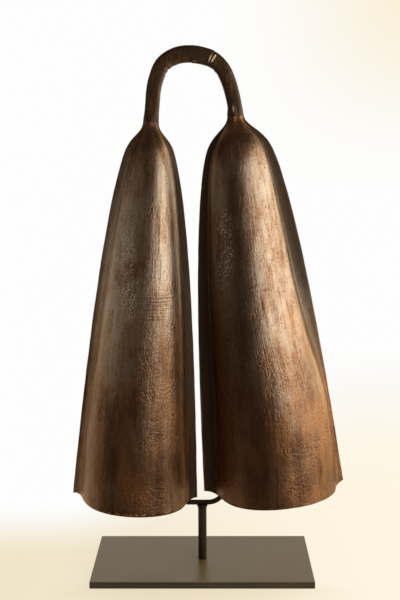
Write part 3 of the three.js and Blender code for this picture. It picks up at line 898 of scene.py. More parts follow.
        # Painted highlight, partly wear: bright tan where the lamps catch the lap's crescent, ridges and
        # edges
        rubs_and_highlights = w.ramp(w.carried("rubbed") + (self.grain - 0.5) * 0.6, 0.25, 0.80)
        self.stain(rubs_and_highlights, RUBBED_AND_HIGHLIT_TAN)
        self.metal = self.metal + rubs_and_highlights * 0.2 - 0.40
        self.rough = self.rough + 0.14


def forged_iron(name, colours, on_leaf):
    """Forged iron, with the marks of a leaf or of the handle's bar."""
    material, w = start_material(name)
    coat = IronCoat(w, colours, on_leaf)
    coat.patina()
    if on_leaf:
        coat.leaf_marks()
    else:
        coat.bar_marks()
    surface(w, {
        "Base Color": coat.tinted, "Metallic": coat.metal, "Roughness": coat.rough,
        "Normal": w.bump(coat.relief, 0.00105, 1.0), "IOR": 1.4, "Specular Tint": (1.0, 0.82, 0.60, 1.0),
    })
    return material


def black_paint(name, colours, worn_and_lit_above=None):
    """Satin black paint on steel. Above a height it is painted paler, for wear and as a painted reflection of
    the pale backdrop, less so towards the right, with dust and hair scratches.
    """
    material, w = start_material(name)
    place = w.place()
    cloud = w.noise(place, 13.0, 4.0, 0.55)
    tooth = w.noise(place, 900.0, 2.0, 0.5)
    base = w.tint(w.ramp(cloud, 0.35, 0.7) * 0.3, opaque(colours.paint), opaque(colours.umber))
    rough = 0.28 + cloud * 0.12 + tooth * 0.04
    if worn_and_lit_above is not None:
        across = w.parts(place)
        # Painted reflection, partly wear: the plate's top is tinted paler, less so towards the right
        worn_and_lit = w.ramp(across.beside("Z"), worn_and_lit_above - 0.0006, worn_and_lit_above) * (0.92 + cloud * 0.28)
        worn_and_lit = worn_and_lit * (1 - w.ramp(across, -0.12, 0.15) * 0.36)
        base = w.tint(worn_and_lit, base, opaque(colours.plate))
        dust = w.noise(place, 260.0, 2.0, 0.4)
        where = w.noise(w.stretched(place, (1.0, 1.0, 1.0), (0.2, 0.1, 0.0)), 22.0, 2.0, 0.5)
        specks = w.ramp(dust, 0.73, 0.78) * w.ramp(where, 0.5, 0.62)
        hair = w.noise(w.stretched(place, (30.0, 420.0, 1.0)), 1.0, 2.0, 0.5)
        scratch = w.ramp(hair, 0.74, 0.80) * w.ramp(where, 0.52, 0.66) * 0.4
        pale = w.maths("MAXIMUM", specks * 0.5, scratch)
        base = w.tint(pale, base, PLATE_SCRATCH)
        rough = rough + pale * 0.3
    surface(w, {
        "Base Color": base, "Roughness": rough, "Normal": w.bump(tooth + cloud * 0.4, 0.0001, 0.3),
        "IOR": 1.38 if worn_and_lit_above is None else 1.5, "Specular Tint": (1.0, 0.90, 0.74, 1.0),
    })
    return material


def sleeve_rubber(name):
    """Matt black tube."""
    material, w = start_material(name)
    cloud = w.noise(w.place(), 120.0, 3.0)
    base = w.tint(cloud, (0.012, 0.012, 0.012, 1.0), (0.03, 0.029, 0.027, 1.0))
    bump = w.bump(w.noise(w.place(), 800.0, 2.0), 0.0001, 0.2)
    surface(w, {"Base Color": base, "Roughness": 0.62 + cloud * 0.2, "Normal": bump})
    return material


def plain_steel(name):
    """Turned steel with faint rings round its axis."""
    material, w = start_material(name)
    radius = w.vector_maths("LENGTH", w.stretched(w.place(), (1.0, 1.0, 0.0))).beside("Value")
    rings = w.noise(w.point(radius * 3000.0, 0.0, 0.0), 1.0, 2.0)
    base = w.tint(rings, (0.42, 0.42, 0.41, 1.0), (0.60, 0.60, 0.58, 1.0))
    bump = w.bump(rings, 0.00005, 0.2)
    surface(w, {"Base Color": base, "Metallic": 1.0, "Roughness": 0.3 + rings * 0.15, "Normal": bump})
    return material


def pressed_felt(name):
    """Black felt: matted fibres with a little lint."""
    material, w = start_material(name)
    place = w.place()
    fibre = w.noise(w.stretched(place, (700.0, 260.0, 500.0)), 1.0, 4.0, 0.7)
    cross = w.noise(w.stretched(place, (240.0, 760.0, 500.0)), 1.0, 4.0, 0.7)
    mat = w.maths("MAXIMUM", fibre, cross)
    base = w.tint(w.ramp(mat, 0.45, 0.75), (0.010, 0.010, 0.011, 1.0), (0.052, 0.050, 0.048, 1.0))
    lint = w.ramp(w.noise(place, 340.0, 2.0), 0.76, 0.8) * 0.35
    base = w.tint(lint, base, (0.3, 0.28, 0.25, 1.0))
    bump = w.bump(mat, 0.0004, 0.7)
    surface(w, {"Base Color": base, "Roughness": 0.95, "Normal": bump, "Sheen Weight": 0.25})
    return material


# Handle


# The bar's middle line: how far across from the left neck to the right one, and how far up to the crown
HANDLE_ROUTE = (
    (0.02, 0.26), (0.034, 0.45), (0.066, 0.63), (0.146, 0.845), (0.298, 0.97), (0.455, 1.0),
    (0.6, 0.975), (0.737, 0.91), (0.851, 0.767), (0.92, 0.58), (0.963, 0.39), (0.993, 0.2),
)


def centripetal(points, per_span):
    """A smooth centripetal curve through points, and its steps along the way."""
    points = np.array(points, float)
    ends = [2 * points[0] - points[1], *points, 2 * points[-1] - points[-2]]
    line = []
    for a, b, c, d in zip(ends, ends[1:], ends[2:], ends[3:]):
        gaps = [max(np.linalg.norm(v - u), 1e-9) ** 0.5 for u, v in ((a, b), (b, c), (c, d))]
        leave = ((b - a) / gaps[0] - (c - a) / (gaps[0] + gaps[1]) + (c - b) / gaps[1]) * gaps[1]
        reach = ((c - b) / gaps[1] - (d - b) / (gaps[1] + gaps[2]) + (d - c) / gaps[2]) * gaps[1]
        for t in np.linspace(0, 1, per_span, endpoint=False):
            cube = 2 * b - 2 * c + leave + reach
            square = -3 * b + 3 * c - 2 * leave - reach
            line.append(b + leave * t + square * t**2 + cube * t**3)
    line.append(points[-1])
    line = np.array(line)
    along = np.concatenate([[0], np.cumsum(np.linalg.norm(np.diff(line, axis=0), axis=1))])
    return line, along


# How far from a neck the bar's section starts to turn oval, and half the stretch that gives its heading
NECK_TURN = 0.016
HEADING_REACH = 0.0015
# How much narrower and thinner a tang's end is than its root, and how much slimmer its root is than the bar
TANG_TAPER = 0.42
TANG_THINNING = 0.4
TANG_FIT = 0.03
# The steps between the rings of the left arm and of the right one, the rings on the lap, and how far inside
# the lap's end they start
LEFT_STEP = 0.001
RIGHT_STEP = 0.0007
LAP_RINGS = 52
LAP_MARGIN = 0.0005


# Marks on the bar, as (distance along it, across, deep, half length, half span, depth). Across runs from
# the arch's inside at -1 to its outside at 1, deep from the front at -1 to the back at 1. A depth below 0
# stands proud
HANDLE_MARKS = (
    (0.0650, -1.0, 0.0, 0.0030, 0.90, 0.0006),
    (0.0745, -1.0, 0.0, 0.0026, 0.90, 0.0009),
    (0.0840, -1.0, 0.0, 0.0032, 0.90, 0.0006),
    (0.1200, -1.0, -0.7, 0.0060, 0.45, -0.0006),
    (0.1160, -0.7, -1.0, 0.0050, 0.25, 0.0006),
    (0.1530, -1.0, 0.0, 0.0026, 0.90, 0.0009),
    (0.1620, -1.0, 0.0, 0.0032, 0.90, 0.0005),
    (0.1402, 0.05, -1.0, 0.0012, 0.55, -0.0005),
    (0.1425, 0.05, -1.0, 0.0010, 0.55, 0.0006),
    (0.1446, 0.10, -1.0, 0.0012, 0.50, -0.0007),
    (0.2180, -0.25, -1.0, 0.0090, 0.20, -0.0007),
    (0.2190, 0.25, -1.0, 0.0090, 0.24, 0.0007),
    (0.0400, 0.5, -1.0, 0.0140, 0.30, 0.0004),
    (0.1000, 0.3, -1.0, 0.0090, 0.40, 0.0005),
    (0.1900, 0.4, -1.0, 0.0120, 0.30, 0.0004),
)
# Where the bar is painted bright, as wear and as painted highlights on the crescent at the lap's end and on
# edges and ridges that face the lamps, as (distance along it, across, deep, half length, half span, strength)
HANDLE_RUBS_AND_HIGHLIGHTS = (
    (0.1406, 0.05, -1.0, 0.0010, 0.60, 0.80),
    (0.1448, 0.12, -1.0, 0.0013, 0.55, 1.40),
    (0.1210, -0.8, -0.8, 0.0050, 0.16, 0.50),
    (0.1280, 1.0, 0.0, 0.0160, 0.45, 0.30),
    (0.2160, -0.25, -1.0, 0.0070, 0.16, 0.60),
    (0.2000, 1.0, 0.0, 0.0200, 0.35, 0.35),
)


def marked(marks, section, along):
    """The sum of a bar's marks round one of its rings, at a distance along it."""
    total = np.zeros(len(section))
    for at, across, deep, half_length, half_span, amount in marks:
        here = bell_curve(along - at, half_length)
        if here > 0.01:
            away = np.hypot(section[:, 0] - across, section[:, 1] - deep)
            total += amount * here * bell_curve(away, half_span)
    return total


def ease(value, low, high):
    """A smooth step from 0 to 1."""
    t = min(max((value - low) / (high - low), 0.0), 1.0)
    return t * t * (3 - 2 * t)


def bar_section(chamfer_across, chamfer_deep, corner_steps=5, side_steps=8, soft=0.45):
    """A bar's outline in a square of half width 1, with its four corners cut off and softened."""
    points = []
    for sx, sy in ((1, -1), (1, 1), (-1, 1), (-1, -1)):
        first = (sx * (1 - chamfer_across), sy)
        second = (sx, sy * (1 - chamfer_deep))
        points.extend([first, second] if sx * sy < 0 else [second, first])
    points = np.array(points)

    def towards(corner, other):
        """Where the softening of a corner ends, on the side to another one."""
        return corner + (other - corner) * min(soft, soft / np.linalg.norm(other - corner))

    outline = []
    for before, corner, after in zip(np.roll(points, 1, 0), points, np.roll(points, -1, 0)):
        start, end = towards(corner, before), towards(corner, after)
        for t in np.linspace(0, 1, corner_steps):
            outline.append((1 - t) ** 2 * start + 2 * t * (1 - t) * corner + t**2 * end)
        following = towards(after, corner)
        for t in np.linspace(0, 1, side_steps + 2)[1:-1]:
            outline.append(end + (following - end) * t)
    return np.array(outline)


class HandleBar:
    """The handle's bar along its middle line, from the left neck to the right one and on into both tangs."""

    def __init__(self, settings):
        sizes = settings.handle
        bells = (settings.left_bell, settings.right_bell)
        left, right = bell_place(-1, bells[0]), bell_place(1, bells[1])
        spacing = right.x - left.x
        route = [(left.x + a * spacing, left.y, left.z + u * sizes.rise) for a, u in HANDLE_ROUTE]
        self.points, self.along = centripetal([left, *route, right], 24)
        self.length = self.along[-1]
        self.necks = (left, right)
        self.splays = [bell.splay for bell in bells]
        self.flares = [bell.neck_width - sizes.arm_width for bell in bells]
        self.sizes = sizes
        self.section = bar_section(sizes.chamfer_across, sizes.chamfer_deep)
        self.oval = self.section / np.linalg.norm(self.section, axis=1)[:, None]
        self.back = sizes.thickness / 2
        self.front = -self.back
        self.scarf_start = sizes.scarf_end - sizes.scarf_length

    def at(self, along):
        """The middle and the heading at a distance from the left neck."""
        if along < 0:
            heading = np.array([math.sin(self.splays[0]), 0, math.cos(self.splays[0])])
            return np.array(self.necks[0]) + heading * along, heading
        if along > self.length:
            heading = np.array([math.sin(self.splays[1]), 0, -math.cos(self.splays[1])])
            return np.array(self.necks[1]) + heading * (along - self.length), heading
        heading = self.on_curve(along + HEADING_REACH) - self.on_curve(along - HEADING_REACH)
        return self.on_curve(along), heading / np.linalg.norm(heading)

    def on_curve(self, along):
        """A point of the middle line between the two necks."""
        return np.array([np.interp(along, self.along, self.points[:, k]) for k in range(3)])

    def past_neck(self, along):
        """How far into a tang. It is below 0 between the necks."""
        return -min(along, self.length - along)

    def in_tang(self, along):
        """0 up to the neck, 1 at the tang's end."""
        return ease(self.past_neck(along) / self.sizes.tang_length, 0.0, 1.0)

    def width(self, along):
        """Across the bar, wider at its crown and at its necks."""
        sizes = self.sizes
        crown = math.sin(math.pi * min(max(along / self.length, 0), 1)) ** 4
        body = sizes.arm_width + (sizes.crown_width - sizes.arm_width) * crown
        for flare, from_neck in zip(self.flares, (along, self.length - along)):
            body += flare * (1 - ease(from_neck, 0, sizes.neck_flare))
        return body * (1 - TANG_TAPER * self.in_tang(along))

    def scarf_face(self, along):
        """The lap's slanting face, from the back at its start to the front at its end."""
        part = (along - self.scarf_start) / self.sizes.scarf_length
        return (self.back - self.sizes.scarf_tip) * (1 - 2 * part)

    def ring(self, along, nearer, farther):
        """The points round the bar at one distance along it, between two faces, each with its painted
        brightness.
        """
        middle, heading = self.at(along)
        outwards = np.array([-heading[2], 0, heading[0]])
        past_neck = self.past_neck(along)
        outline = self.section + (self.oval - self.section) * (1 - ease(-past_neck, 0.0, NECK_TURN))
        outline = outline * (1 - TANG_FIT * ease(past_neck, -0.001, 0.004))
        away = self.oval * marked(HANDLE_MARKS, self.section, along)[:, None]
        across = outline[:, 0] * self.width(along) / 2 - away[:, 0]
        deep = (nearer + farther) / 2 + outline[:, 1] * (farther - nearer) / 2
        deep = deep * (1 - TANG_THINNING * self.in_tang(along)) - away[:, 1]
        deep = np.clip(deep, self.front, self.back)
        points = middle + across[:, None] * outwards + deep[:, None] * np.array([0, 1, 0])
        return np.column_stack([points, marked(HANDLE_RUBS_AND_HIGHLIGHTS, self.section, along)])


# The sizes of a bell that its leaves' tree takes under the same name
LEAF_SIZES = (
    "length", "mouth_width", "mouth_belly", "fullness", "shoulder_drop", "shoulder_power", "neck_width",
    "lip_skew", "outer_rise", "inner_rise", "splay",
)


class GONG_OT_bells(bpy.types.Operator):
    """Form the four leaves of the two bells from flat blanks"""

    bl_idname = "gong.bells"
    bl_label = "Forge Bells"

    def execute(self, context):
        settings = context.scene.gong
        iron = forged_iron("Bell iron", settings.colours, True)
        tree = leaf_tree()
        bells = (
            (-1, settings.left_bell, LEFT_LINES, LEFT_MARKS),
            (1, settings.right_bell, RIGHT_LINES, RIGHT_MARKS),
        )
        for side, sizes, lines, marks in bells:
            name = "left" if side < 0 else "right"
            given = {size.replace("_", " ").title(): getattr(sizes, size) for size in LEAF_SIZES}
            given["Neck Thickness"] = settings.handle.thickness
            given["Neck"] = bell_place(side, sizes)
            given["Side"] = float(side)
            given["Material"] = iron
            leaves = ((-1, "front", lines, marks), (1, "back", lines[1:4:2], ()))
            for face, word, own_lines, own_marks in leaves:
                node = f"{name}_{word}_leaf"
                blank = leaf_blank(node, sizes, own_lines, own_marks)
                leaf = form(f"{node}_forged", blank, tree, {**given, "Face": float(face)})
                place_piece(leaf, "gong", "bell_iron", node)
        return {"FINISHED"}


class GONG_OT_handle(bpy.types.Operator):
    """Draw the two arms of the handle along its middle line, lapped in a scarf"""

    bl_idname = "gong.handle"
    bl_label = "Draw Handle"

    def execute(self, context):
        settings = context.scene.gong
        iron = forged_iron("Handle iron", settings.colours, False)
        bar = HandleBar(settings)
        lap_end = settings.handle.scarf_end
        tang = settings.handle.tang_length
        half_gap = CLEARANCE / 2
        lap = np.linspace(bar.scarf_start + LAP_MARGIN, lap_end, LAP_RINGS)
        before = np.arange(-tang, bar.scarf_start, LEFT_STEP)
        after = np.arange(lap_end + 2 * CLEARANCE, bar.length + tang, RIGHT_STEP)
        left = [bar.ring(a, bar.front, bar.back) for a in before]
        left += [bar.ring(a, bar.front, bar.scarf_face(a) - half_gap) for a in lap]
        self.arm("handle_left_arm", left, iron)
        right = [bar.ring(a, bar.scarf_face(a) + half_gap, bar.back) for a in lap + CLEARANCE]
        right += [bar.ring(a, bar.front, bar.back) for a in after]
        self.arm("handle_right_arm", right, iron)
        return {"FINISHED"}

    @staticmethod
    def arm(node, rings, iron):
        """One arm through its rings, closed at both ends."""
        count = len(rings[0])
        rows = np.concatenate(rings)
        points = rows[:, :3]
        points[:, 2] = np.minimum(points[:, 2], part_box(node)[1].z)
        faces = []
        for start in range(0, len(points) - count, count):
            for i in range(count):
                a, b = start + i, start + (i + 1) % count
                faces.append((a, b, b + count, a + count))
        faces.append(range(count)[::-1])
        faces.append(range(len(points) - count, len(points)))
        obj = mesh_object(f"{node}_forged", points, faces, iron)
        carry(obj.data, "rubbed", rows[:, 3])
        place_piece(obj, "gong", "handle_iron", node)


# The post: its broken edge, its first loop, how far its braze sets in below the rod and runs on past it, how
# hollow the braze is, and how far its rim is drawn in under the rod
POST_EDGE = 0.0004
POST_LOOP = 0.004
BRAZE_START = 0.004
BRAZE_RUN = 0.0025
BRAZE_HOLLOW = 2.2
BRAZE_RIM = 0.0012
# A sleeve: its wall, the round of its domed end, and how thick that end is
SLEEVE_WALL = 0.0009
SLEEVE_DOME = 0.003
SLEEVE_END = 0.0012
# The felt: squares over its length and its width, how far its cut edge wavers, and how far that edge is
# rounded below
FELT_ROWS = (96, 48)
FELT_WAVER = 0.00015
FELT_ROUND = 0.0003


def revolve(profile, centre, steps):
    """Points and faces of a closed turned body.

    The profile holds (radius, height) from axis to axis, or round to its first point again.
    """
    points, faces, rims = [], [], []
    for radius, height in profile:
        if radius < 1e-7:
            rims.append([len(points)])
            points.append((centre[0], centre[1], centre[2] + height))
            continue
        rims.append(list(range(len(points), len(points) + steps)))
        for i in range(steps):
            turn = 2 * math.pi * i / steps
            x = centre[0] + radius * math.cos(turn)
            y = centre[1] + radius * math.sin(turn)
            points.append((x, y, centre[2] + height))
    for low, high in zip(rims, rims[1:]):
        for i in range(steps):
            a, b = low[i % len(low)], low[(i + 1) % len(low)]
            c, d = high[(i + 1) % len(high)], high[i % len(high)]
            corner = list(dict.fromkeys((a, b, c, d)))
            if len(corner) > 2:
                faces.append(corner)
    return points, faces


class GONG_OT_stand(bpy.types.Operator):
    """Make the plate, the post and its braze, the fork, its sleeves and the felt, and give the screw its
    steel
    """

    bl_idname = "gong.stand"
    bl_label = "Make Stand"

    def execute(self, context):
        settings = context.scene.gong
        sizes = settings.stand
        colours = settings.colours
        paint = black_paint("Plate paint", colours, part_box("base_plate")[1].z)
        post_paint = black_paint("Post paint", colours)
        self.plate(sizes, paint)
        self.post(sizes, post_paint)
        self.fork(sizes, post_paint)
        self.sleeves(sleeve_rubber("Sleeve rubber"))
        screw = frame["nodes"]["base_screw"]
        screw.data.materials.clear()
        screw.data.materials.append(plain_steel("Screw steel"))
        self.felt(pressed_felt("Pressed felt"))
        return {"FINISHED"}

    @staticmethod
    def plate(sizes, paint):
        """The flat steel plate with broken edges."""
        low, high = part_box("base_plate")
        work = bmesh.new()
        bmesh.ops.create_cube(work, size=1.0)
        for v in work.verts:
            v.co = Vector([low[k] + (v.co[k] + 0.5) * (high[k] - low[k]) for k in range(3)])
        edges = list(work.edges)
        bmesh.ops.bevel(work, geom=edges, offset=sizes.edge_round, segments=4, profile=0.6, affect="EDGES")
        mesh = bpy.data.meshes.new("base_plate_painted")
        work.to_mesh(mesh)
        work.free()
        mesh.materials.append(paint)
        place_piece(add_object("base_plate_painted", mesh), "stand", "black_steel", "base_plate")

    @staticmethod
    def post(sizes, paint):
        """The round post, flared into its braze."""
        low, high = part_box("post")
        radius = sizes.post_diameter / 2
        top = high.z - low.z
        profile = [(0, 0), (radius - POST_EDGE, 0), (radius, POST_EDGE)]
        foot = top - sizes.fillet_height - BRAZE_START
        profile += [(radius, z) for z in np.linspace(POST_LOOP, foot, 8)]
        for part in np.linspace(0.1, 1, 10):
            reach = sizes.fillet_reach * part**BRAZE_HOLLOW
            profile.append((radius + reach, foot + (sizes.fillet_height + BRAZE_RUN) * part))
        profile += [(radius + sizes.fillet_reach - BRAZE_RIM, top - 0.0002), (0, top)]
        points, faces = revolve(profile, (0, 0, low.z), 64)
        obj = mesh_object("post_painted", points, faces, paint)
        place_piece(obj, "stand", "black_steel", "post")

    @staticmethod
    def fork(sizes, paint):
        """The bent rod, swept along its route."""
        low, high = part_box("cradle_fork")
        radius = sizes.rod_diameter / 2
        left_x, right_x = low.x + radius, high.x - radius
        height, deep = low.z + radius, (low.y + high.y) / 2
        bends = (
            (left_x, 1, sizes.left_bend, np.linspace(math.pi / 2, 0, 14)),
            (right_x, -1, sizes.right_bend, np.linspace(0, math.pi / 2, 18)),
        )
        route = [(left_x, deep, high.z)]
        for x, inwards, bend, turns in bends:
            for turn in turns:
                across = x + inwards * bend * (1 - math.sin(turn))
                route.append((across, deep, height + bend * (1 - math.cos(turn))))
        route.append((right_x, deep, high.z))
        curve = bpy.data.curves.new("rod route", "CURVE")
        curve.dimensions = "3D"
        spline = curve.splines.new("POLY")
        spline.points.add(len(route) - 1)
        for point, place in zip(spline.points, route):
            point.co = (*place, 1)
        rod = form("cradle_fork_painted", curve, rod_tree(), {"Radius": radius, "Material": paint})
        place_piece(rod, "stand", "black_steel", "cradle_fork")

    @staticmethod
    def sleeves(rubber):
        """The soft tubes over the prongs."""
        for side in ("left", "right"):
            low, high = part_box(f"{side}_prong_sleeve")
            radius = (high.x - low.x) / 2
            top = high.z - low.z
            bore = radius - SLEEVE_WALL
            shoulder = top - SLEEVE_DOME
            profile = [(bore, 0.0), (bore + 0.0004, 0.0), (radius - 0.0002, 0.0), (radius, 0.0003)]
            profile += [(radius, z) for z in np.linspace(0.004, shoulder, 10)]
            for turn in np.linspace(0.1, math.pi / 2, 8):
                profile.append((radius * math.cos(turn), shoulder + SLEEVE_DOME * math.sin(turn)))
            profile += [(0, top - SLEEVE_END), (bore - 0.0006, top - SLEEVE_END), (bore, shoulder)]
            profile += [(bore, top - 0.01), (bore, 0.0)]
            centre = ((low.x + high.x) / 2, (low.y + high.y) / 2, low.z)
            points, faces = revolve(profile, centre, 48)
            tube = mesh_object(f"{side}_prong_sleeve_tube", points, faces, rubber, merge=1e-6)
            place_piece(tube, "stand", "sleeve_rubber", f"{side}_prong_sleeve")

    @staticmethod
    def felt(material):
        """The felt under the plate, its edge slightly drawn in where it was cut."""
        low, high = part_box("felt_pad")
        steps_x, steps_y = FELT_ROWS
        points, faces = [], []
        rng = np.random.default_rng(7)
        for bottom in (True, False):
            for j in range(steps_y + 1):
                for i in range(steps_x + 1):
                    at_edge = i in (0, steps_x) or j in (0, steps_y)
                    waver = rng.uniform(-FELT_WAVER, 0.0) if at_edge else 0.0
                    a, b = i / steps_x, j / steps_y
                    x = low.x + a * (high.x - low.x) + waver * (1 if a > 0.5 else -1)
                    y = low.y + b * (high.y - low.y) + waver * (1 if b > 0.5 else -1)
                    under = low.z + (FELT_ROUND if at_edge else 0.0)
                    points.append((x, y, under if bottom else high.z))
        layer = (steps_x + 1) * (steps_y + 1)
        for skin in (0, 1):
            for j in range(steps_y):
                for i in range(steps_x):
                    a = skin * layer + j * (steps_x + 1) + i
                    faces.append((a, a + 1, a + steps_x + 2, a + steps_x + 1))
        rim = list(range(steps_x + 1))
        rim += [j * (steps_x + 1) + steps_x for j in range(1, steps_y + 1)]
        rim += [steps_y * (steps_x + 1) + i for i in range(steps_x - 1, -1, -1)]
        rim += [j * (steps_x + 1) for j in range(steps_y - 1, 0, -1)]
        for a, b in zip(rim, rim[1:] + rim[:1]):
            faces.append((a, b, b + layer, a + layer))
        obj = mesh_object("felt_pad_pressed", points, faces, material, smooth=False)
        place_piece(obj, "stand", "black_felt", "felt_pad")


def rod_tree():
    """Sweeps a round rod along a route, with its ends closed."""
    w = FormingTree("Sweep rod", {"Radius": 0.003, "Material": None})
    circle = w.node("GeometryNodeCurvePrimitiveCircle", None, {"Resolution": 40, "Radius": w.given("Radius")})
    swept = w.node("GeometryNodeCurveToMesh", None, {
        "Curve": w.given("Geometry"), "Profile Curve": circle, "Fill Caps": True,
    })
    return w.finish(swept)


# The camera's place, and its yaw, pitch and roll in degrees
CAMERA_PLACE = (0.0127, -1.2762, 0.5997)
CAMERA_TURNS = (-0.65, 9.58, -0.29)


class GONG_OT_stage(bpy.types.Operator):
    """Set the floor, the lamps, the studio's dark side and the camera"""

    bl_idname = "gong.stage"
    bl_label = "Set Stage"

    def execute(self, context):
        colours = context.scene.gong.colours
        self.camera(context.scene)
        self.floor(colours)
        self.dark_side()
        self.lamps()
        self.sky(context.scene)
        context.scene.view_settings.view_transform = "Standard"
        return {"FINISHED"}

    @staticmethod
    def camera(scene):
        """The photograph's viewpoint: a little above the gong's middle, looking slightly down."""
        data = bpy.data.cameras.new("Camera")
        data.sensor_width = SENSOR * 1000
        data.lens = PHOTO_FOCAL / PHOTO_HEIGHT * SENSOR * 1000
        camera = add_object("Camera", data)
        yaw, pitch, roll = (math.radians(turn) for turn in CAMERA_TURNS)
        level = math.cos(pitch)
        forward = Vector((math.sin(yaw) * level, math.cos(yaw) * level, -math.sin(pitch)))
        right = Vector((math.cos(yaw), -math.sin(yaw), 0))
        up = right.cross(forward)
        rolled_right = math.cos(roll) * right + math.sin(roll) * up
        rolled_up = math.cos(roll) * up - math.sin(roll) * right
        turned = Matrix((rolled_right, rolled_up, -forward)).transposed().to_4x4()
        camera.matrix_world = Matrix.Translation(CAMERA_PLACE) @ turned
        scene.camera = camera

    @staticmethod
    def floor(colours):
        """A wide pale floor that fades into the white of the background and keeps the stand's shadow, with a
        painted shadow in front of the plate and painted light towards the right.
        """
        work = bmesh.new()
        bmesh.ops.create_circle(work, cap_ends=True, segments=96, radius=9.0)
        mesh = bpy.data.meshes.new("floor")
        work.to_mesh(mesh)
        work.free()
        material, w = start_material("Floor")
        place = w.place()
        spread = w.parts(place)
        right = w.ramp(spread, -0.25, 0.45)
        white = w.ramp((spread.beside("Y") - 0.01 - right * 0.14) / w.blend(right, 0.22, 1.3), 0.0, 1.0)
        paper = w.node("ShaderNodeBsdfDiffuse", None, {"Color": opaque(colours.floor)})
        # Painted light: the floor is paler, and its shadow fainter, towards the lamps on the right
        lamp_side_light = w.ramp(spread, -0.30, 0.25)
        cream = w.tint(lamp_side_light, (0.98, 0.88, 0.655, 1.0), (1.0, 0.925, 0.765, 1.0))
        # Painted shadow: the floor is darkened just in front of the plate
        painted_contact_shadow = w.spot(place, (0.0, -0.085, 0.0), (0.24, 0.055, 0.1)) * 0.5
        cream = w.tint(painted_contact_shadow, cream, (0.78, 0.65, 0.445, 1.0))
        glow = w.tint(white, cream, PAPER_WHITE)
        light = w.node("ShaderNodeEmission", None, {"Color": glow, "Strength": 1.0})
        glowing = w.maths("MAXIMUM", w.blend(lamp_side_light, 0.80, 0.94), w.blend(white, 0.80, 1.0))
        mixed = w.node("ShaderNodeMixShader", None, {0: w.seen_or_mirrored() * glowing, 1: paper, 2: light})
        w.node("ShaderNodeOutputMaterial", None, {"Surface": mixed})
        mesh.materials.append(material)
        add_object("floor", mesh)

    @staticmethod
    def dark_side():
        """What the gloss mirrors: a dark wall in front, grey at its sides, a dark ceiling and floor."""
        radius, high = 2.2, 2.6
        first, last = math.radians(-140), math.radians(16)
        steps = 64
        points, faces = [], []
        for i in range(steps + 1):
            turn = first + (last - first) * i / steps
            for z in (0.0, high):
                points.append((radius * math.sin(turn), -radius * math.cos(turn), z))
        for i in range(steps):
            a = 2 * i
            faces.append((a, a + 2, a + 3, a + 1))
        start = len(points)
        for i in range(steps):
            turn = 2 * math.pi * i / steps
            points.append((1.2 * radius * math.sin(turn), -1.2 * radius * math.cos(turn), high))
        faces.append(tuple(range(start, start + steps)))
        start = len(points)
        carpet = ((-radius, -radius), (0.4, -radius), (0.4, -0.16), (-radius, -0.16))
        points += [(x, y, 0.002) for x, y in carpet]
        faces.append(tuple(range(start, start + 4)))
        mesh = bpy.data.meshes.new("dark_screen")
        mesh.from_pydata(points, [], faces)
        material, w = start_material("Dark screen")
        place = w.parts(w.place())
        side = w.ramp(place.beside("Y"), -0.80 * radius, -0.40 * radius) * 0.65
        side = side + w.ramp(place.beside("Y"), 0.1 * radius, 0.75 * radius) * 0.35
        side = side * w.ramp(place.beside("Z"), 1.3, 0.5) * w.ramp(place.beside("Z"), 0.01, 0.05)
        tone = w.tint(side, (0.095, 0.062, 0.040, 1.0), (1.0, 0.93, 0.82, 1.0))
        cloth = w.node("ShaderNodeEmission", None, {"Color": tone, "Strength": 1.0})
        w.node("ShaderNodeOutputMaterial", None, {"Surface": cloth})
        mesh.materials.append(material)
        obj = add_object("dark_screen", mesh)
        obj.visible_camera = False
        obj.visible_diffuse = False
        obj.visible_shadow = False

    @staticmethod
    def lamps():
        """Three tall soft panels side by side, from the front right round to the back."""
        distance, low, high = 1.05, 0.12, 1.02
        first, apart = 45, 39
        width = 2 * distance * math.tan(math.radians(apart / 2))
        radiance = 2.8
        for i, name in enumerate(("Front", "Side", "Back")):
            turn = math.radians(first + apart * i)
            data = bpy.data.lights.new(name, "AREA")
            data.shape = "RECTANGLE"
            data.size = width
            data.size_y = high - low
            data.energy = radiance * math.pi * width * (high - low)
            data.color = (1.0, 0.94, 0.85)
            lamp = add_object(name, data)
            lamp.location = (distance * math.sin(turn), -distance * math.cos(turn), (low + high) / 2)
            inwards = Vector((-math.sin(turn), math.cos(turn), 0))
            lamp.rotation_euler = inwards.to_track_quat("-Z", "Y").to_euler()
            lamp.visible_camera = False

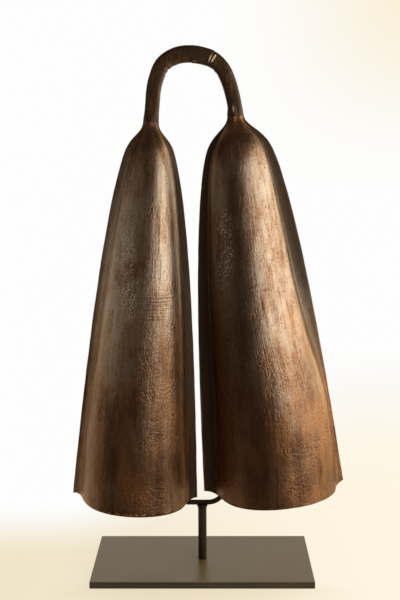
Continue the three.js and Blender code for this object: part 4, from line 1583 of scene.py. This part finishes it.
    @staticmethod
    def sky(scene):
        """White where it is seen or mirrored, and a soft grey fill elsewhere."""
        world = bpy.data.worlds.new("Studio")
        world.use_nodes = True
        w = Wiring(world.node_tree)
        fill = w.node("ShaderNodeBackground", None, {"Color": (1.0, 0.95, 0.88, 1.0), "Strength": 0.35})
        across = w.parts(w.place("Generated"))
        cream = w.ramp(across, 0.0, 0.24) * w.ramp(across.beside("Z"), -0.06, 0.16)
        paper = w.tint(cream, PAPER_WHITE, (0.95, 0.85, 0.64, 1.0))
        white = w.node("ShaderNodeBackground", None, {"Color": paper, "Strength": 1.0})
        both = w.node("ShaderNodeMixShader", None, {0: w.seen_or_mirrored(), 1: fill, 2: white})
        w.node("ShaderNodeOutputWorld", None, {"Surface": both})
        scene.world = world


class GONG_PT_panel(bpy.types.Panel):
    """The sizes, the colours and the steps, in the sidebar"""

    bl_label = "Double Gong"
    bl_idname = "GONG_PT_panel"
    bl_space_type = "VIEW_3D"
    bl_region_type = "UI"
    bl_category = "Gong"

    def draw(self, context):
        settings = context.scene.gong
        for operator in STEPS:
            self.layout.operator(operator.bl_idname)
        for part in settings.__annotations__:
            group = getattr(settings, part)
            box = self.layout.box()
            for name in group.__annotations__:
                box.prop(group, name)


STEPS = (GONG_OT_stage, GONG_OT_bells, GONG_OT_handle, GONG_OT_stand)
GROUPS = (LeftBellSizes, RightBellSizes, HandleSizes, StandSizes, FinishColours, GongSettings)
CLASSES = (*GROUPS, *STEPS, GONG_PT_panel)


def register():
    """Adds the classes and the scene's settings."""
    for item in CLASSES:
        bpy.utils.register_class(item)
    bpy.types.Scene.gong = PointerProperty(type=GongSettings)


def unregister():
    """Takes them away again."""
    del bpy.types.Scene.gong
    for item in reversed(CLASSES):
        bpy.utils.unregister_class(item)


def corners(box):
    """A box as plain lists."""
    return [list(map(float, corner)) for corner in box]


def main():
    """Builds the whole part."""
    register()
    bpy.ops.gong.stage()
    bpy.ops.gong.bells()
    bpy.ops.gong.handle()
    bpy.ops.gong.stand()


if __name__ == "__main__":
    main()
